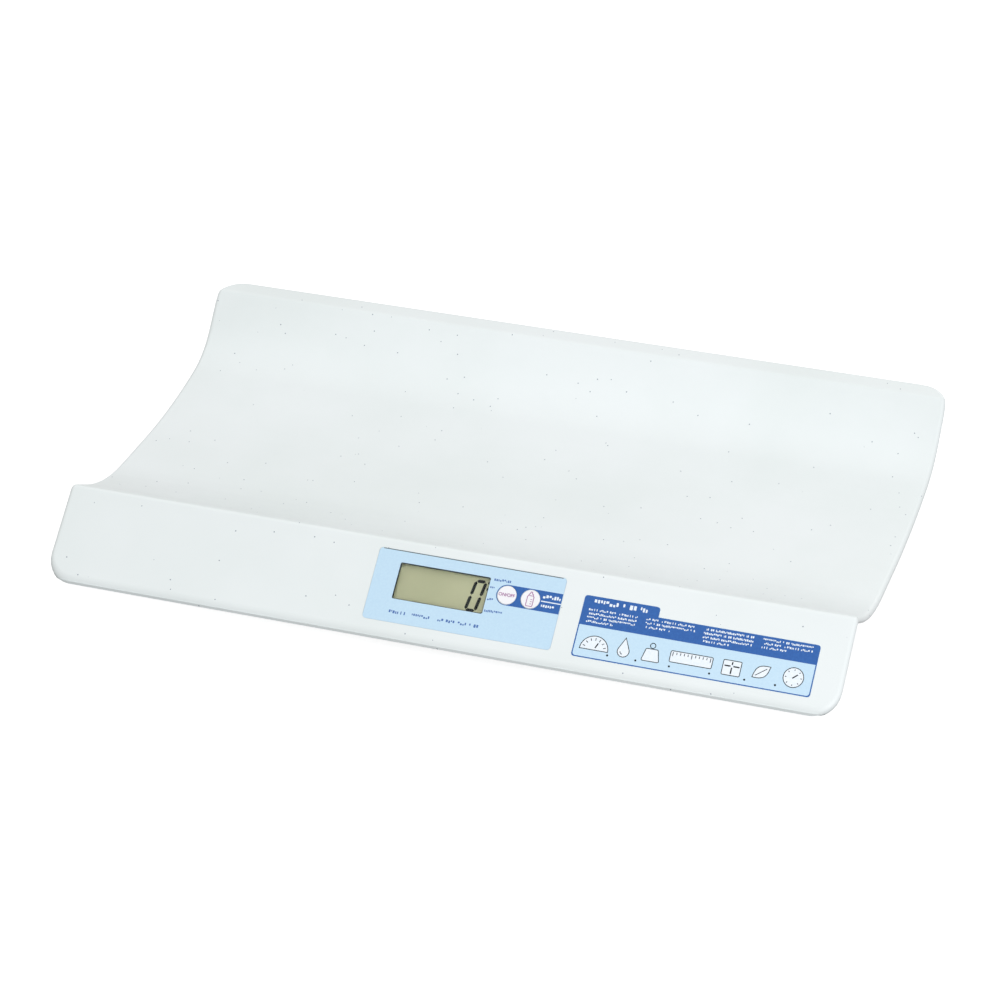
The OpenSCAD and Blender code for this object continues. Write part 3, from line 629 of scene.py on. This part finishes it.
def capsule_words():
    """White print on the capsule: a dividing line and two short lines of print."""
    edge = BUTTON_X["memory"] + BUTTON_D / 2
    x, v, length, height = DIVIDER
    loops = [rounded_rect(edge + x, CAPSULE_V + v, length, height, 0.3)]
    for x, v, length, height, seed in CAPSULE_PRINT:
        loops += text_bars(edge + x, CAPSULE_V + v, length, height, seed)
    plate("capsule_print", "ink_white", loops, INK, 2 * INK, "overlay_film")


def overlay_edge():
    """The fine dark line along the overlay's upper edge."""
    v = OVERLAY_V - OVERLAY_H / 2 + EDGE_LINE_H / 2
    line = rounded_rect(OVERLAY_X, v, OVERLAY_W - 2 * OVERLAY_R, EDGE_LINE_H, 0.2)
    plate("overlay_edge_line", "ink_grey", [line], 0, INK, "overlay_film")


# Display ----------------------------------------

GLASS_GAP = 0.3
GLASS_TOP = -WALL - GLASS_GAP
DIGIT_X, DIGIT_V, DIGIT_W, DIGIT_H, DIGIT_LEAN = 23.4, 28.7, 8.8, 22.8, 0.14
SEGMENT, SEGMENT_GAP = 2.2, 0.25
MARK_X, MARK_HALF_W, MARK_HALF_H = LCD_W / 2 - 1.1, 0.9, 1.1
MARK_V = (LCD_V - 9.6, LCD_V - 5.2)


def segment(x0, v0, x1, v1):
    """A display segment with pointed ends between two (x, v) points of a digit."""
    a, b = Vector((x0, v0)), Vector((x1, v1))
    along = (b - a).normalized()
    across = Vector((-along.y, along.x)) * SEGMENT / 2
    gap, tip = along * SEGMENT_GAP, along * (SEGMENT / 2 + SEGMENT_GAP)
    points = [a + gap, a + tip + across, b - tip + across, b - gap, b - tip - across,
              a + tip - across]
    return [(p.x - DIGIT_LEAN * (p.y - DIGIT_V), p.y) for p in points]


def display():
    """A nought on the display's glass, two marks at its right edge and a dark border with painted
    shade.
    """
    left, right = DIGIT_X - DIGIT_W / 2 + SEGMENT / 2, DIGIT_X + DIGIT_W / 2 - SEGMENT / 2
    top, low = DIGIT_V - DIGIT_H / 2 + SEGMENT / 2, DIGIT_V + DIGIT_H / 2 - SEGMENT / 2
    loops = [segment(left, top, right, top), segment(left, low, right, low)]
    for x in (left, right):
        loops += [segment(x, top, x, DIGIT_V), segment(x, DIGIT_V, x, low)]
    for v in MARK_V:
        back = MARK_X - MARK_HALF_W
        loops.append([(MARK_X + MARK_HALF_W, v), (back, v - MARK_HALF_H), (back, v + MARK_HALF_H)])
    plate("display_digits", "ink_black", loops, GLASS_TOP, GLASS_TOP + INK, "lcd")
    # A dark printed border with painted shade: it is wider at the left and the top, where it
    # stands for the shadow of the window's edge, and its outside hides under the film
    border = [rounded_rect(0, LCD_V, LCD_W + 2, LCD_H + 2, LCD_R + 1),
              rounded_rect(0.2, LCD_V + 0.2, LCD_W - 1.3, LCD_H - 1.3, LCD_R)]
    plate("window_border_and_painted_shade", "ink_grey", border, -OVERLAY_T - INK, -OVERLAY_T, "clear_window")


# Keys -------------------------------------------

FLANGE_OVER, FLANGE_T, FLANGE_GAP = 1.4, 1.2, 0.1
STEM_R = 1.7
PLUNGER_TOP = BOARD_TOP + 4.5
KEY_ROUND = 0.6
# The dished top of a key: shares of its radius, and how deep it lies there
KEY_DISH = ((0, 0.12), (0.5, 0.08), (0.8, 0.02))
WORD_SIZE, WORD_BOLDER = 3.1, 0.06


def lathe(name, profile, matrix):
    """A closed turned piece from (radius, height) points that start and end on its axis."""
    vertices, faces, previous = [], [], None
    count = 64
    for r, z in profile:
        turns = 1 if r == 0 else count
        ring = [len(vertices) + i for i in range(turns)]
        vertices += [matrix @ Vector((r * math.cos(2 * math.pi * i / count),
                                      r * math.sin(2 * math.pi * i / count), z))
                     for i in range(turns)]
        if previous:
            for i in range(count):
                quad = [previous[i % len(previous)], previous[(i + 1) % len(previous)],
                        ring[(i + 1) % turns], ring[i % turns]]
                faces.append(tuple(dict.fromkeys(quad)))
        previous = ring
    return add_object(name, build_mesh(name, vertices, faces))


def button(name):
    """A round key with a softly dished top, on its flange and stem."""
    r, top = BUTTON_D / 2, BUTTON_PROUD
    under = -WALL - FLANGE_GAP
    profile = [(share * r, top - depth) for share, depth in KEY_DISH]
    profile += [(r - KEY_ROUND * (1 - sin_deg(a)), top - KEY_ROUND * (1 - cos_deg(a)))
                for a in (0, 22, 45, 68, 90)]
    profile += [(r, under), (r + FLANGE_OVER, under), (r + FLANGE_OVER, under - FLANGE_T),
                (STEM_R, under - FLANGE_T), (STEM_R, PLUNGER_TOP), (0, PLUNGER_TOP)]
    spot = PANEL @ Matrix.Translation((BUTTON_X[name], -BUTTON_V, 0))
    key = lathe(name + "_cap", profile, spot)
    key.data.materials.append(MATERIALS["key"])
    smooth(key, angle=35)
    place(key, name + "_key", "button_plastic", name + "_button")


def key_words():
    """ON/OFF on the first key."""
    text = bpy.data.curves.new("on_off_word", "FONT")
    text.body = "ON/OFF"
    text.size = WORD_SIZE
    text.align_x = "CENTER"
    text.align_y = "CENTER"
    text.extrude = INK / 2
    text.offset = WORD_BOLDER
    mesh = drawn_mesh("on_off_word", text)
    spot = Matrix.Translation((BUTTON_X["on_off"], -BUTTON_V, BUTTON_PROUD))
    mesh.transform(Matrix.Scale(MM, 4) @ PANEL @ spot)
    mesh.materials.clear()
    mesh.materials.append(MATERIALS["ink_pink"])
    place(add_object("on_off_word", mesh), "on_off_key", "button_plastic")


def key_bottle():
    """A plain bottle on the second key, in outline."""
    x, v, line = BUTTON_X["memory"], BUTTON_V, 0.5
    # Its right half from the top down, from the key's middle
    half = ((0.5, -4.9), (0.7, -3.7), (1.5, -3.2), (1.5, -2.3), (2.2, -1.6), (2.2, 4.4),
            (1.8, 4.9))
    shape = [(x + a, v + b) for a, b in half] + [(x - a, v + b) for a, b in reversed(half)]
    loops = stroke(shape, line, closed=True)
    loops += [rounded_rect(x, v - 2.3, 2.2, 0.4, 0.1, 2)]
    loops += [rounded_rect(x + 0.8, v + d, 1.2, 0.4, 0.1, 2) for d in (0.2, 1.7, 3.2)]
    plate("memory_bottle", "ink_pink", loops, BUTTON_PROUD - 0.02, BUTTON_PROUD + INK / 2,
          "button_plastic", body="memory_key")


# Instruction label ------------------------------

HEADER_LOW, HEADER_INSET = 36.2, 0.05
BORDER = 0.8
HEADING_INSET, HEADING_V, HEADING_W, HEADING_H = 7, 19.6, 36, 3.2
COLUMN_X, COLUMN_PITCH, COLUMN_W, COLUMN_COUNT = 101, 39, 33, 4
LINE_V, LINE_PITCH, LINE_H, LAST_LINE_W = 25.2, 2.7, 1.5, 18


def label():
    """The light-blue label, its dark-blue header and border, and blocks in place of print."""
    plate("label_film", "label", [label_loop()], -LABEL_T, 0, "label_film", "instruction_label")
    left, right = LABEL_X - LABEL_W / 2 + BORDER, LABEL_X + LABEL_W / 2 - BORDER
    low = LABEL_V + LABEL_H / 2 - BORDER
    window = round_loop([(right, low, LABEL_R), (left, low, LABEL_R), (left, HEADER_LOW, 0.1),
                         (right, HEADER_LOW, 0.1)])
    plate("label_header", "ink_blue", [label_loop(-HEADER_INSET), window], 0, INK, "label_film")
    heading_x = LABEL_X - LABEL_W / 2 + HEADING_INSET
    loops = text_bars(heading_x, HEADING_V, HEADING_W, HEADING_H, 4)
    for column in range(COLUMN_COUNT):
        x = COLUMN_X + COLUMN_PITCH * column
        lines = 4 - column % 2
        for line in range(lines):
            wide = COLUMN_W if line < lines - 1 else LAST_LINE_W
            seed = 7 * column + line + 2
            loops += text_bars(x, LINE_V + LINE_PITCH * line, wide, LINE_H, seed)
    plate("label_print", "ink_white", loops, INK, 2 * INK, "label_film")


# The label's pictures. Each is drawn about its middle, with v pointing down, and gives its
# outline and the loops inside it
ICON_V = 47.0
ICON_LINE, BOLD_LINE = 0.5, 0.8


def shifted(points, x, v, turn=0.0):
    """Points turned by an angle in degrees and moved to (x, v)."""
    c, s = cos_deg(turn), sin_deg(turn)
    return [(x + c * a - s * b, v + s * a + c * b) for a, b in points]


def ticks(x, v, inner, outer, angles):
    """Short radial lines at angles in degrees from straight up."""
    return [loop for a in angles
            for loop in stroke(shifted([(0, -inner), (0, -outer)], x, v, a), ICON_LINE)]


def half_dial(x, v):
    r, hub_v = 9.5, v + 5
    rim = [(r * cos_deg(a), -r * sin_deg(a)) for a in range(0, 181, 6)]
    needle = stroke(shifted([(0, -1.6), (0, -5.4)], x, hub_v, 24), BOLD_LINE)
    return shifted(rim, x, hub_v), ticks(x, hub_v, 6.4, 8.2, range(-72, 73, 24)) + needle


def drop(x, v):
    r, gleam_r, low = 3.9, 2.1, 2.4
    round_part = [(r * cos_deg(a), low + r * sin_deg(a)) for a in range(-28, 209, 8)]
    gleam = [(gleam_r * cos_deg(a), low + gleam_r * sin_deg(a)) for a in range(100, 171, 10)]
    return shifted(round_part + [(0, -6.8)], x, v), stroke(shifted(gleam, x, v), ICON_LINE)


def weight(x, v):
    body = round_loop([(4, -2.4, 0.8), (6, 6, 1.2), (-6, 6, 1.2), (-4, -2.4, 0.8)])
    return shifted(body, x, v), ring_loops(x, v - 4.7, 2.0, ICON_LINE)


def ruler(x, v):
    marks = []
    for i in range(11):
        mark_x, end_v = x - 12.5 + 2.5 * i, v - (0.2 if i % 5 == 0 else 1.4)
        marks += stroke([(mark_x, v - 3), (mark_x, end_v)], ICON_LINE)
    return rounded_rect(x, v, 28, 7.6, 1), marks


def parcel(x, v):
    ribbons = [[(0, -3.2), (0, -1.2)], [(0, 0.6), (0, 5)], [(-5, -0.3), (-0.9, -0.3)],
               [(0.9, -0.3), (5, -0.3)]]
    strokes = [loop for ribbon in ribbons for loop in stroke(shifted(ribbon, x, v), 0.9)]
    return rounded_rect(x, v + 0.9, 12, 10, 0.8), strokes


def leaf(x, v):
    half = [(8 * t / 12, 3.4 * sin_deg(15 * t)) for t in range(13)]
    edge = [(a - 4, b) for a, b in half] + [(a - 4, -b) for a, b in half[-2:0:-1]]
    edge = shifted([(1.7 * a, 1.1 * b) for a, b in edge], x, v, -38)
    return edge, stroke(shifted([(-4.6, 0), (4.2, 0)], x, v, -38), ICON_LINE)


def round_dial(x, v):
    pointer = stroke(shifted([(0, 0.8), (0, -3.4)], x, v, 48), BOLD_LINE)
    return circle(x, v, 6.6), ticks(x, v, 4.6, 5.6, range(0, 360, 45)) + pointer


# Each picture and its place along the label
ICONS = ((half_dial, 110.5), (drop, 130), (weight, 148.5), (ruler, 175), (parcel, 202),
         (leaf, 221.5), (round_dial, 242.5))


def label_icons():
    """A row of plain pictures, filled white and outlined, with dots between them."""
    dark, white = [], []
    for draw, x in ICONS:
        outline, details = draw(x, ICON_V)
        white.append(outline)
        dark += stroke(outline, ICON_LINE, closed=True) + details
    for (_, one), (_, two) in zip(ICONS, ICONS[1:]):
        dark.append(circle((one + two) / 2, ICON_V + 7, 0.7, 20))
    plate("label_icon_fills", "ink_white", white, 0, INK, "label_film")
    plate("label_icon_lines", "ink_black", dark, INK, 2 * INK, "label_film")


# Materials --------------------------------------

# How far apart the tray's dark specks are and their radius, in metres
SPECK_SPACING, SPECK_R = 0.0086, 0.00045


def srgb(r, g, b):
    """A colour given in 0 to 255 as the shader wants it."""
    def linear(c):
        c /= 255
        return c / 12.92 if c <= 0.04045 else ((c + 0.055) / 1.055) ** 2.4
    return (linear(r), linear(g), linear(b), 1)


class Shader:
    """A Principled material whose nodes are added one by one."""

    def __init__(self, name, roughness, metallic=0.0):
        self.material = bpy.data.materials.new(name)
        self.material.use_nodes = True
        self.nodes = self.material.node_tree.nodes
        self.links = self.material.node_tree.links
        self.surface = self.nodes["Principled BSDF"]
        self.surface.inputs["Roughness"].default_value = roughness
        self.surface.inputs["Metallic"].default_value = metallic
        self.position = self.nodes.new("ShaderNodeTexCoord").outputs["Object"]

    def noise(self, scale, detail, stretch=None):
        """Noise of so many features a metre, stretched along an axis if asked."""
        source = self.position
        if stretch:
            mapping = self.nodes.new("ShaderNodeMapping")
            mapping.inputs["Scale"].default_value = stretch
            self.links.new(source, mapping.inputs["Vector"])
            source = mapping.outputs["Vector"]
        node = self.nodes.new("ShaderNodeTexNoise")
        node.inputs["Scale"].default_value = scale
        node.inputs["Detail"].default_value = detail
        self.links.new(source, node.inputs["Vector"])
        return node.outputs["Fac"]

    def ramp(self, value, stops):
        """Colours at places from 0 to 1 along a value."""
        node = self.nodes.new("ShaderNodeValToRGB")
        elements = node.color_ramp.elements
        while len(elements) < len(stops):
            elements.new(0.5)
        for element, (where, colour) in zip(elements, stops):
            element.position = where
            element.color = colour
        self.links.new(value, node.inputs["Fac"])
        return node.outputs["Color"]

    def spread(self, value, low, high):
        """A value's middle part, from 0.3 to 0.7, spread from low to high."""
        node = self.nodes.new("ShaderNodeMapRange")
        node.inputs["From Min"].default_value = 0.3
        node.inputs["From Max"].default_value = 0.7
        node.inputs["To Min"].default_value = low
        node.inputs["To Max"].default_value = high
        self.links.new(value, node.inputs["Value"])
        return node.outputs["Result"]

    def mix(self, amount, one, two):
        """Two colours, as tuples or sockets, mixed by an amount."""
        node = self.nodes.new("ShaderNodeMix")
        node.data_type = "RGBA"
        self.links.new(amount, node.inputs["Factor"])
        for socket, colour in ((node.inputs[6], one), (node.inputs[7], two)):
            if isinstance(colour, tuple):
                socket.default_value = colour
            else:
                self.links.new(colour, socket)
        return node.outputs[2]

    def dots(self, spacing, radius):
        """1 inside small round specks about one spacing apart, else 0."""
        cells = self.nodes.new("ShaderNodeTexVoronoi")
        cells.inputs["Scale"].default_value = 1 / spacing
        self.links.new(self.position, cells.inputs["Vector"])
        less = self.nodes.new("ShaderNodeMath")
        less.operation = "LESS_THAN"
        less.inputs[1].default_value = radius / spacing
        self.links.new(cells.outputs["Distance"], less.inputs[0])
        return less.outputs[0]

    def colour(self, socket):
        self.links.new(socket, self.surface.inputs["Base Color"])

    def roughness(self, socket):
        self.links.new(socket, self.surface.inputs["Roughness"])

    def bump(self, height, distance, strength):
        """Small unevenness of the surface, its height in millimetres."""
        node = self.nodes.new("ShaderNodeBump")
        node.inputs["Distance"].default_value = distance * MM
        node.inputs["Strength"].default_value = strength
        self.links.new(height, node.inputs["Height"])
        self.links.new(node.outputs["Normal"], self.surface.inputs["Normal"])


def moulded(name, light, dark, roughness, specks=None):
    """Moulded plastic with faint cloudiness, a fine grain and, if asked, dark specks."""
    shader = Shader(name, roughness)
    cloud = shader.ramp(shader.noise(9, 4), [(0.35, dark), (0.65, light)])
    if specks:
        cloud = shader.mix(shader.dots(SPECK_SPACING, SPECK_R), cloud, specks)
    shader.colour(cloud)
    shader.roughness(shader.spread(shader.noise(160, 4), roughness - 0.05, roughness + 0.06))
    shader.bump(shader.noise(1400, 2), 0.03, 0.35)
    return shader.material


def printed(name, light, dark, roughness=0.38, gloss=0.5):
    """Printed ink or film with a slight unevenness."""
    shader = Shader(name, roughness)
    shader.surface.inputs["Specular IOR Level"].default_value = gloss
    shader.colour(shader.ramp(shader.noise(700, 3), [(0.3, dark), (0.7, light)]))
    shader.roughness(shader.spread(shader.noise(90, 2), roughness - 0.04, roughness + 0.05))
    shader.bump(shader.noise(2600, 1), 0.01, 0.2)
    return shader.material


def metal(name, light, dark, roughness, stretch):
    """Plated or brushed metal, its grain drawn out along one axis."""
    shader = Shader(name, roughness, 1.0)
    grain = shader.noise(500, 4, stretch)
    shader.colour(shader.ramp(grain, [(0.3, dark), (0.7, light)]))
    shader.roughness(shader.spread(grain, roughness - 0.08, roughness + 0.1))
    shader.bump(grain, 0.02, 0.3)
    return shader.material


def rubber(name, light, dark):
    """Dull dark rubber or cable jacket with a rough grain."""
    shader = Shader(name, 0.75)
    shader.colour(shader.ramp(shader.noise(60, 5), [(0.3, dark), (0.7, light)]))
    shader.roughness(shader.spread(shader.noise(300, 3), 0.65, 0.85))
    shader.bump(shader.noise(900, 3), 0.06, 0.5)
    return shader.material


def clear(name):
    """Clear plastic with a very faint waviness."""
    shader = Shader(name, 0.04)
    shader.surface.inputs["Transmission Weight"].default_value = 1.0
    shader.surface.inputs["IOR"].default_value = 1.2
    tint = [(0.2, srgb(246, 248, 246)), (0.8, srgb(252, 253, 252))]
    shader.colour(shader.ramp(shader.noise(40, 2), tint))
    shader.bump(shader.noise(60, 1), 0.01, 0.1)
    return shader.material


def liquid_crystal(name):
    """The display's olive ground, with a faint tint across it."""
    shader = Shader(name, 0.42)
    shader.surface.inputs["Specular IOR Level"].default_value = 0.15
    tint = [(0.3, srgb(189, 190, 155)), (0.7, srgb(200, 200, 165))]
    shader.colour(shader.ramp(shader.noise(22, 3), tint))
    shader.roughness(shader.spread(shader.noise(400, 2), 0.36, 0.48))
    shader.bump(shader.noise(3000, 1), 0.005, 0.2)
    return shader.material


def circuit(name):
    """A green board with paler tracks under its varnish."""
    shader = Shader(name, 0.3)
    tracks = shader.nodes.new("ShaderNodeTexBrick")
    tracks.inputs["Scale"].default_value = 260
    tracks.inputs["Mortar Size"].default_value = 0.12
    tracks.inputs["Color1"].default_value = srgb(30, 92, 58)
    tracks.inputs["Color2"].default_value = srgb(36, 101, 64)
    tracks.inputs["Mortar"].default_value = srgb(70, 138, 92)
    shader.links.new(shader.position, tracks.inputs["Vector"])
    shader.colour(tracks.outputs["Color"])
    shader.roughness(shader.spread(shader.noise(500, 2), 0.24, 0.4))
    shader.bump(tracks.outputs["Fac"], 0.03, 0.4)
    return shader.material


def battery_skin(name):
    """A cell's wrap: dark for most of its length, with a copper band."""
    shader = Shader(name, 0.28)
    split = shader.nodes.new("ShaderNodeSeparateXYZ")
    shader.links.new(shader.position, split.inputs[0])
    low, high = (c.x * MM for c in node_box("battery_1"))
    along = shader.nodes.new("ShaderNodeMapRange")
    along.inputs["From Min"].default_value = low
    along.inputs["From Max"].default_value = high
    shader.links.new(split.outputs["X"], along.inputs["Value"])
    bands = shader.ramp(along.outputs["Result"], [
        (0.0, srgb(190, 190, 188)), (0.04, srgb(172, 110, 52)), (0.3, srgb(30, 31, 34)),
        (0.97, srgb(186, 186, 184))])
    bands.node.color_ramp.interpolation = "CONSTANT"
    shader.colour(bands)
    shader.roughness(shader.spread(shader.noise(300, 3), 0.22, 0.38))
    shader.bump(shader.noise(800, 2), 0.01, 0.3)
    return shader.material


def make_materials():
    white, shade = srgb(233, 238, 238), srgb(228, 234, 233)
    return {
        "tray": moulded("tray_plastic", white, shade, 0.38, srgb(136, 146, 158)),
        "case": moulded("case_plastic", srgb(226, 229, 226), srgb(217, 221, 218), 0.45),
        "key": moulded("key_plastic", srgb(243, 242, 244), srgb(236, 236, 240), 0.38),
        "black": moulded("black_plastic", srgb(44, 45, 48), srgb(32, 33, 35), 0.5),
        "film": printed("overlay_film", srgb(196, 224, 242), srgb(190, 219, 239)),
        "label": printed("label_film", srgb(199, 226, 243), srgb(193, 221, 240)),
        "ink_blue": printed("ink_blue", srgb(50, 102, 174), srgb(44, 93, 164), 0.45, 0.3),
        "ink_mid": printed("ink_mid_blue", srgb(78, 118, 182), srgb(66, 106, 172)),
        "ink_white": printed("ink_white", srgb(240, 245, 250), srgb(228, 238, 247)),
        "ink_black": printed("ink_black", srgb(30, 34, 36), srgb(22, 25, 27), 0.45, 0.15),
        "ink_grey": printed("ink_grey", srgb(88, 98, 104), srgb(70, 80, 86)),
        "ink_pink": printed("ink_pink", srgb(172, 104, 160), srgb(156, 90, 150)),
        "lcd": liquid_crystal("display_ground"),
        "clear": clear("clear_window"),
        "steel": metal("plated_steel", srgb(205, 206, 204), srgb(176, 178, 176), 0.34,
                       (1, 8, 8)),
        "alloy": metal("cell_aluminium", srgb(214, 216, 218), srgb(190, 192, 195), 0.4,
                       (1, 12, 12)),
        "gauge": printed("gauge_film", srgb(176, 138, 74), srgb(150, 112, 54), 0.4),
        "rubber": rubber("foot_rubber", srgb(96, 98, 98), srgb(78, 80, 80)),
        "lead": rubber("lead_jacket", srgb(70, 71, 73), srgb(54, 55, 57)),
        "board": circuit("circuit_board"),
        "wrap": battery_skin("battery_wrap"),
    }


MATERIALS = make_materials()

CAD_FINISH = {
    "steel": ["platform_frame", "frame_screws", "upper_spacer", "cell_screws_top", "board_screws",
              "cover_screws", "base_screws", "base_plate", "cell_screws_bottom",
              "battery_contacts", "tact_switches"],
    "alloy": ["load_cell"],
    "gauge": ["strain_gauges"],
    "clear": ["lcd_window"],
    "lcd": ["lcd_glass"],
    "case": ["base_housing", "base_cover", "battery_door", "display_cover", "lcd_holder"],
    "black": ["board_chips", "zebra_strips", "on_off_plunger", "memory_plunger"],
    "board": ["display_board"],
    "lead": ["signal_lead", "power_lead"],
    "rubber": ["foot_front_left", "foot_front_right", "foot_back_left", "foot_back_right"],
    "wrap": ["battery_1", "battery_2", "battery_3", "battery_4"],
}
WELD_GAP = 0.002
FLAT_ANGLE, SHARP_ANGLE = 0.5, 40
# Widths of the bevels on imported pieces
BEVELS = {"base_housing": 0.8, "base_cover": 0.5, "battery_door": 0.4, "display_cover": 0.6,
          "platform_frame": 0.3, "load_cell": 0.3, "base_plate": 0.3, "upper_spacer": 0.3,
          "lcd_holder": 0.2, "board_chips": 0.2}


def dress_cad():
    """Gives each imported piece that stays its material, and softens those in BEVELS."""
    for finish, names in CAD_FINISH.items():
        for name in names:
            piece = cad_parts[name]
            piece.data.materials.clear()
            piece.data.materials.append(MATERIALS[finish])
            if name in BEVELS:
                soften(piece, BEVELS[name])


def soften(piece, width):
    """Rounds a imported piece's sharp edges, after its flat faces are made whole again."""
    weld = piece.modifiers.new("weld", "WELD")
    weld.merge_threshold = WELD_GAP * MM
    flat = piece.modifiers.new("flat", "DECIMATE")
    flat.decimate_type = "DISSOLVE"
    flat.angle_limit = math.radians(FLAT_ANGLE)
    bevel = piece.modifiers.new("bevel", "BEVEL")
    bevel.width = width * MM
    bevel.segments = 3
    bevel.limit_method = "ANGLE"
    bevel.angle_limit = math.radians(SHARP_ANGLE)
    bevel.harden_normals = True


# Stage ------------------------------------------

CAMERA_AT = (642.4, -1931.9, 1186.3)
CAMERA_AZIMUTH, CAMERA_TILT = 18.51, 29.54
LENS, SENSOR = 121.752, 36
# The camera's clipping distance and half the floor's side, in metres
CLIP_END, FLOOR_HALF = 200, 60
FLOOR_GREY, FLOOR_GLOW = 0.45, 0.8
# Where each light stands and its side in metres, its power in watts and its colour
LIGHTS = {"key": ((1.5, -2.25, 1.27), 1.3, 38, (0.95, 0.97, 1)),
          "fill": ((0.5, 2.5, 0.8), 1.6, 8, (1, 1, 1))}
# Strength of the surroundings: level with the tray, overhead, and the bounce from below
SKY_LEVEL, SKY_TOP = 0.5, 1
BOUNCE_FRONT, BOUNCE_BACK = 0.07, 0.8
# How far above and below the horizon, and how far back, one gives way to the other
HORIZON = 0.03
BOUNCE_Y = (0.1, 0.7)


def camera():
    """The photograph's view: from the front right and above."""
    a, e = math.radians(CAMERA_AZIMUTH), math.radians(CAMERA_TILT)
    right = Vector((math.cos(a), math.sin(a), 0))
    back = Vector((math.sin(a) * math.cos(e), -math.cos(a) * math.cos(e), math.sin(e)))
    eye = add_object("camera", bpy.data.cameras.new("camera"))
    turn = Matrix((right, back.cross(right), back)).transposed().to_4x4()
    eye.matrix_world = Matrix.Translation(Vector(CAMERA_AT) * MM) @ turn
    eye.data.lens = LENS
    eye.data.sensor_width = SENSOR
    eye.data.clip_end = CLIP_END
    bpy.context.scene.camera = eye


def area_light(name, at, size, power, colour):
    """A square soft light that points at the middle of the tray."""
    lamp = bpy.data.lights.new(name, "AREA")
    lamp.color = colour
    lamp.size = size
    lamp.energy = power
    light = add_object(name, lamp)
    light.location = at
    light.rotation_euler = (-Vector(at)).to_track_quat("-Z", "Y").to_euler()


def sky():
    """Studio surroundings: bright overhead, dimmer level with the tray, and below it the
    bounce of a floor, weak from the front and strong from the back."""
    world = bpy.data.worlds.new("studio")
    world.use_nodes = True
    nodes, links = world.node_tree.nodes, world.node_tree.links
    split = nodes.new("ShaderNodeSeparateXYZ")
    links.new(nodes.new("ShaderNodeTexCoord").outputs["Generated"], split.inputs[0])

    def ranged(axis, *numbers):
        """A direction's part along an axis, taken from one range to another."""
        node = nodes.new("ShaderNodeMapRange")
        for name, number in zip(("From Min", "From Max", "To Min", "To Max"), numbers):
            node.inputs[name].default_value = number
        links.new(split.outputs[axis], node.inputs["Value"])
        return node.outputs["Result"]

    # The mix node's sockets are its amount, below and above
    mix = nodes.new("ShaderNodeMix")
    links.new(ranged("Z", -HORIZON, HORIZON, 0, 1), mix.inputs[0])
    links.new(ranged("Y", *BOUNCE_Y, BOUNCE_FRONT, BOUNCE_BACK), mix.inputs[2])
    links.new(ranged("Z", 0, 1, SKY_LEVEL, SKY_TOP), mix.inputs[3])
    links.new(mix.outputs[0], nodes["Background"].inputs["Strength"])
    nodes["Background"].inputs["Color"].default_value = (1, 1, 1, 1)
    bpy.context.scene.world = world


def stage():
    """A pale floor that glows a little, under soft surroundings and two large lights."""
    mesh = bpy.data.meshes.new("floor")
    corners = [(x * FLOOR_HALF, y * FLOOR_HALF, 0)
               for x, y in ((-1, -1), (1, -1), (1, 1), (-1, 1))]
    mesh.from_pydata(corners, [], [(0, 1, 2, 3)])
    floor = add_object("floor", mesh)
    shader = Shader("floor", 0.9)
    shader.surface.inputs["Base Color"].default_value = (FLOOR_GREY, FLOOR_GREY, FLOOR_GREY, 1)
    shader.surface.inputs["Emission Color"].default_value = (1, 1, 1, 1)
    shader.surface.inputs["Emission Strength"].default_value = FLOOR_GLOW
    floor.data.materials.append(shader.material)
    floor.visible_diffuse = floor.visible_glossy = floor.visible_shadow = False
    sky()
    bpy.context.scene.view_settings.view_transform = "Standard"
    for name, numbers in LIGHTS.items():
        area_light(name, *numbers)


camera()
stage()
dress_cad()
tray_shell()
overlay()
overlay_capsule()
overlay_words()
capsule_words()
overlay_edge()
display()
for key_name in BUTTON_X:
    button(key_name)
key_words()
key_bottle()
label()
label_icons()

bpy.context.view_layer.update()
